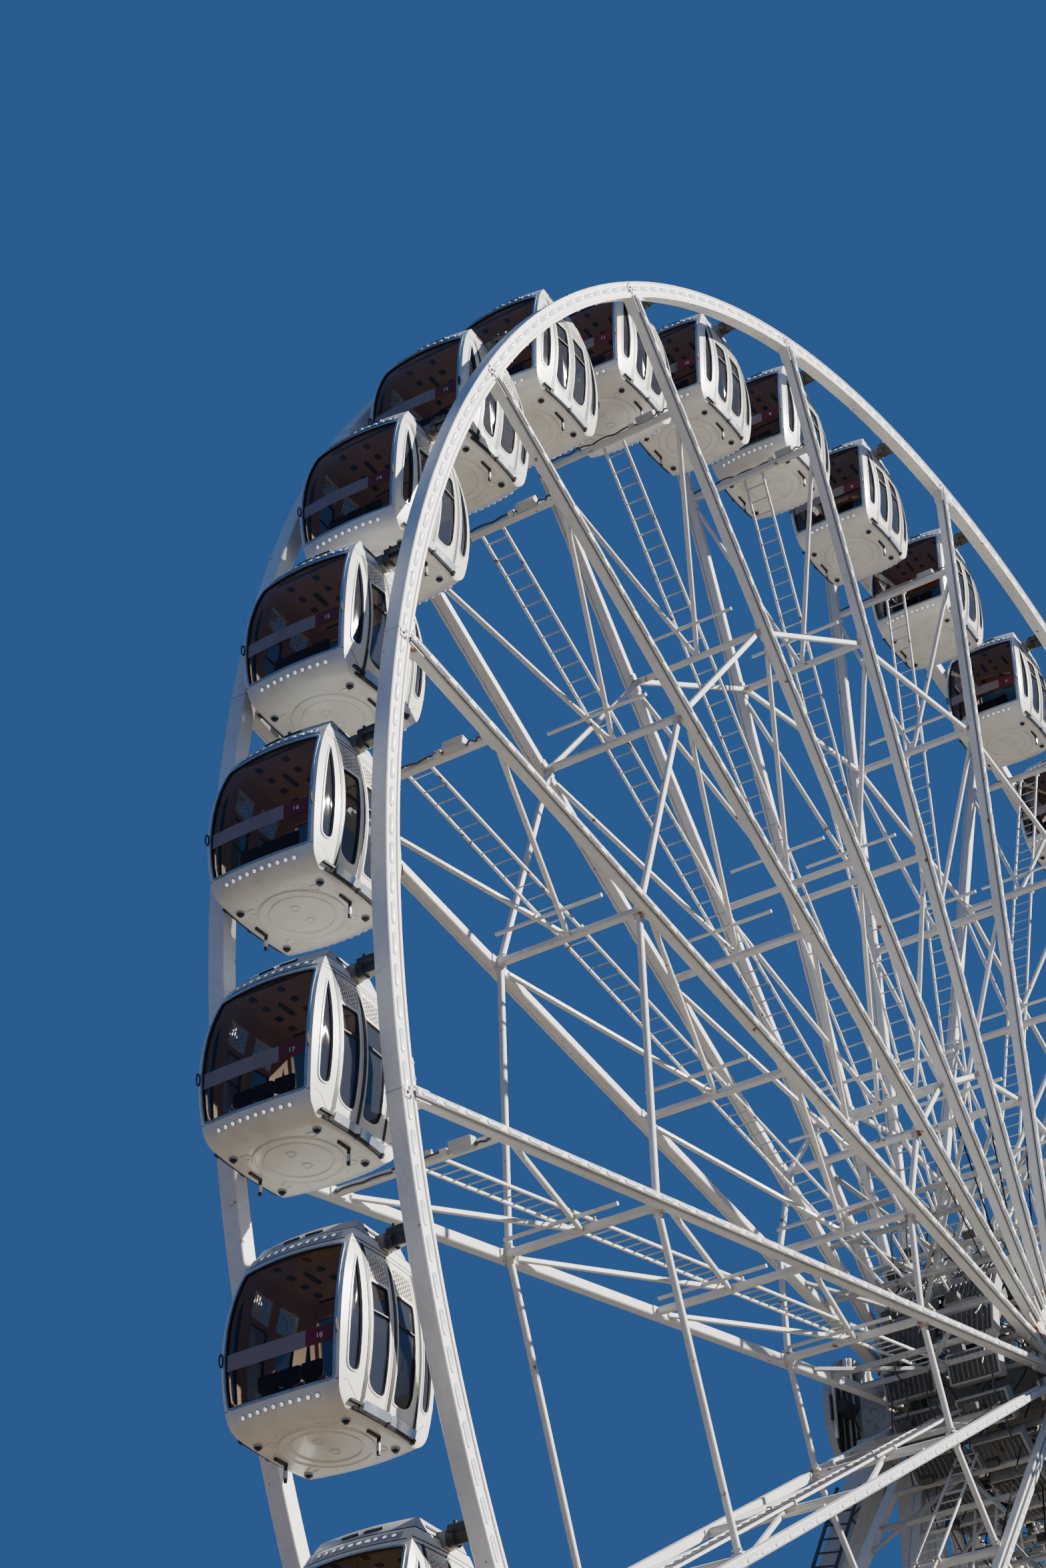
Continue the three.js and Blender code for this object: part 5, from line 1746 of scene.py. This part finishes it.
band = band_part(-BAND_HALF, BAND_SPLIT, BROWN).plus(band_part(BAND_SPLIT, BAND_HALF, RED))
glass = both_ends(half_glass())
print("number of", CABINS[0], "is", cabin_number(CABINS[0]))

# %% [markdown]
# The shell's paint is cream and glossy, with faint streaks where rain runs down. All cabins share one
# set of finishes and one body, which is worked out once and then put at each pivot.

# %% Cabin finishes and cabins
def gloss(name, paint, streak, roughness, coat=0.0, metallic=0.0):
    """Smooth paint or plastic with upright streaks of a second tone."""
    finish = Finish(name)
    streaks = finish.noise(7.0, 3.0, (1.0, 1.0, 0.12)).step(0.45, 0.8)
    grime = finish.noise(2.0, 4.0).step(0.5, 0.75) * 0.5
    mask = streaks * 0.45 + grime * 0.4
    finish.set(base_color=finish.blend(paint, streak, mask), roughness=mask * 0.25 + roughness)
    return finish.set(coat_weight=coat, metallic=metallic).material


def smoked_glass(name, tint, cover):
    """Tinted acrylic that hides that share of what lies behind it, slightly smeared."""
    finish = Finish(name)
    smear = finish.noise(3.0, 2.0).step(0.4, 0.8)
    return finish.set(base_color=tint, roughness=smear * 0.06 + 0.03, alpha=cover, ior=1.45).material


def cabin_lens():
    """A round milky lens with a little glow of its own."""
    finish = Finish("cabin_lens")
    dots = finish.noise(90.0, 0.0).step(0.45, 0.6)
    colour = finish.blend((0.8, 0.86, 0.95), (1.0, 1.0, 1.0), dots)
    finish.set(base_color=colour, roughness=0.25, emission_color=colour, emission_strength=0.7)
    return finish.material


BODY_FINISHES = [
    gloss("cabin_shell", (0.80, 0.77, 0.68), (0.56, 0.51, 0.41), 0.3, coat=0.35),
    gloss("window_trim", (0.30, 0.40, 0.50), (0.22, 0.28, 0.34), 0.35, metallic=0.3),
    gloss("rubber", (0.018, 0.018, 0.018), (0.05, 0.048, 0.045), 0.6),
    gloss("cabin_lining", (0.55, 0.35, 0.22), (0.42, 0.26, 0.15), 0.5),
    gloss("dark_plastic", (0.02, 0.019, 0.018), (0.06, 0.055, 0.05), 0.45),
    cabin_lens(),
    gloss("kick_plate", (0.62, 0.66, 0.72), (0.4, 0.42, 0.45), 0.25, metallic=0.85),
    gloss("grey_plate", (0.40, 0.43, 0.46), (0.26, 0.27, 0.28), 0.45),
    gloss("corner_frame", (0.62, 0.68, 0.74), (0.42, 0.47, 0.52), 0.3, coat=0.2),
    gloss("seat_cover", (0.075, 0.02, 0.026), (0.045, 0.02, 0.022), 0.55),
    # The hanger's dark tone is painted shade: its sides lie in shade under the arm.
    gloss("hanger_steel", (0.20, 0.19, 0.175), (0.11, 0.10, 0.09), 0.5),
]
GLASS_FINISHES = [
    smoked_glass("smoked_glass", (0.012, 0.008, 0.009), 0.4),
    smoked_glass("door_glass", (0.035, 0.038, 0.048), 0.42),
]
BAND_FINISHES = [
    gloss("band_brown", (0.26, 0.205, 0.205), (0.19, 0.15, 0.15), 0.4),
    gloss("band_red", (0.15, 0.008, 0.02), (0.1, 0.007, 0.014), 0.4),
    gloss("number_white", (0.75, 0.73, 0.70), (0.6, 0.58, 0.55), 0.5),
]


def moved_copy(mesh, name, place):
    """The same mesh at another place, given in real metres."""
    copy = mesh.copy()
    copy.name = name
    copy.transform(Matrix.Translation([c * MODEL_SCALE for c in place]))
    return copy


body_mesh = cabin_body.mesh("cabin_body", BODY_FINISHES)
glass_mesh = glass.mesh("cabin_glass", GLASS_FINISHES)
for cabin in CABINS:
    pivot = PIVOTS[cabin]
    show(cabin + "_body", moved_copy(body_mesh, cabin + "_body", pivot), cabin, "cabin_shell", cabin)
    show(cabin + "_glass", moved_copy(glass_mesh, cabin + "_glass", pivot), cabin, "smoked_glass")
    signs = both_ends(Shape().plus(band).plus(number_shape(cabin_number(cabin))))
    show(cabin + "_sign", signs.mesh(cabin + "_sign", BAND_FINISHES, pivot), cabin, "window_band")

# %% [markdown]
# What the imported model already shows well, such as legs, stairs and deck, keeps its solid and only
# gets a finish. The deck is chequer plate: two crossed waves raise its pattern, and the dirt lies in
# between.

# %% Deck, drive and remaining finishes
def deck_plate():
    """Galvanised plate with a raised pattern of small crossed ridges."""
    finish = Finish("deck_plate")
    sockets = {"Vector": finish.place, "Scale": 18.0}
    waves = [finish.node("ShaderNodeTexWave", {"bands_direction": axis}, sockets) for axis in "XY"]
    ridges = (waves[0] * waves[1]).step(0.35, 0.75)
    dirt = finish.noise(1.3, 4.0).step(0.4, 0.7) * 0.6
    plate = finish.blend((0.30, 0.31, 0.31), (0.46, 0.47, 0.47), ridges)
    colour = finish.blend(plate, (0.15, 0.14, 0.12), dirt)
    finish.set(base_color=colour, metallic=0.5, roughness=dirt * 0.3 + 0.38)
    return finish.relief(ridges, 0.002).material


def machine_paint():
    """Blue-grey machine enamel, worn to a darker tone where it is touched."""
    finish = Finish("machine_paint")
    worn = finish.noise(5.0, 4.0).step(0.5, 0.7)
    colour = finish.blend((0.12, 0.17, 0.22), (0.05, 0.05, 0.05), worn)
    return finish.set(base_color=colour, roughness=worn * 0.25 + 0.35).material


# %% Floor and finish
NODE_FINISHES = {
    # The hub and the bearing heads are painted darker than their steel: partly grime, and partly
    # painted shade for the deep shade round the axle. The light discs' grey is painted shade of their
    # shaded sides.
    "hub": painted_steel("hub_steel", (0.24, 0.235, 0.22), (0.05, 0.047, 0.043), 0.95, 0.66),
    "bearing_head": painted_steel("bearing_steel", (0.40, 0.41, 0.41), (0.08, 0.075, 0.07), 0.95, 0.66),
    "light_disc": GREY_STEEL,
    # Legs and tower ties get the darker tower steel, whose tone is painted shade.
    "leg": TOWER_STEEL, "tower_ties": TOWER_STEEL, "base_frame": GREY_STEEL, "railing": WHITE_STEEL,
    "stairs": GREY_STEEL, "boarding_platform": deck_plate(), "rim_drive": machine_paint(),
}
for node_name, node in frame["nodes"].items():
    if not node.hide_render:
        finish = next(NODE_FINISHES[key] for key in NODE_FINISHES if node_name.startswith(key))
        node.data.materials.clear()
        node.data.materials.append(finish)

floor_mesh = bpy.data.meshes.new("floor")
corners = FLOOR_HALF * np.array([(-1, -1, 0), (1, -1, 0), (1, 1, 0), (-1, 1, 0)])
floor_mesh.from_pydata(corners.tolist(), [], [(0, 1, 2, 3)])
floor = bpy.data.objects.new("floor", floor_mesh)
bpy.context.collection.objects.link(floor)
floor_finish = Finish("floor")
length = {"operation": "LENGTH"}
away = floor_finish.node("ShaderNodeVectorMath", length, {0: floor_finish.place}, output=1)
floor_tone = floor_finish.blend(FLOOR_TONE, FLOOR_FAR_TONE, away.step(FLOOR_WARM_TO, FLOOR_FADES_BY))
floor_finish.set(base_color=floor_tone, roughness=0.9, specular_ior_level=0.0)
floor_mesh.materials.append(floor_finish.material)
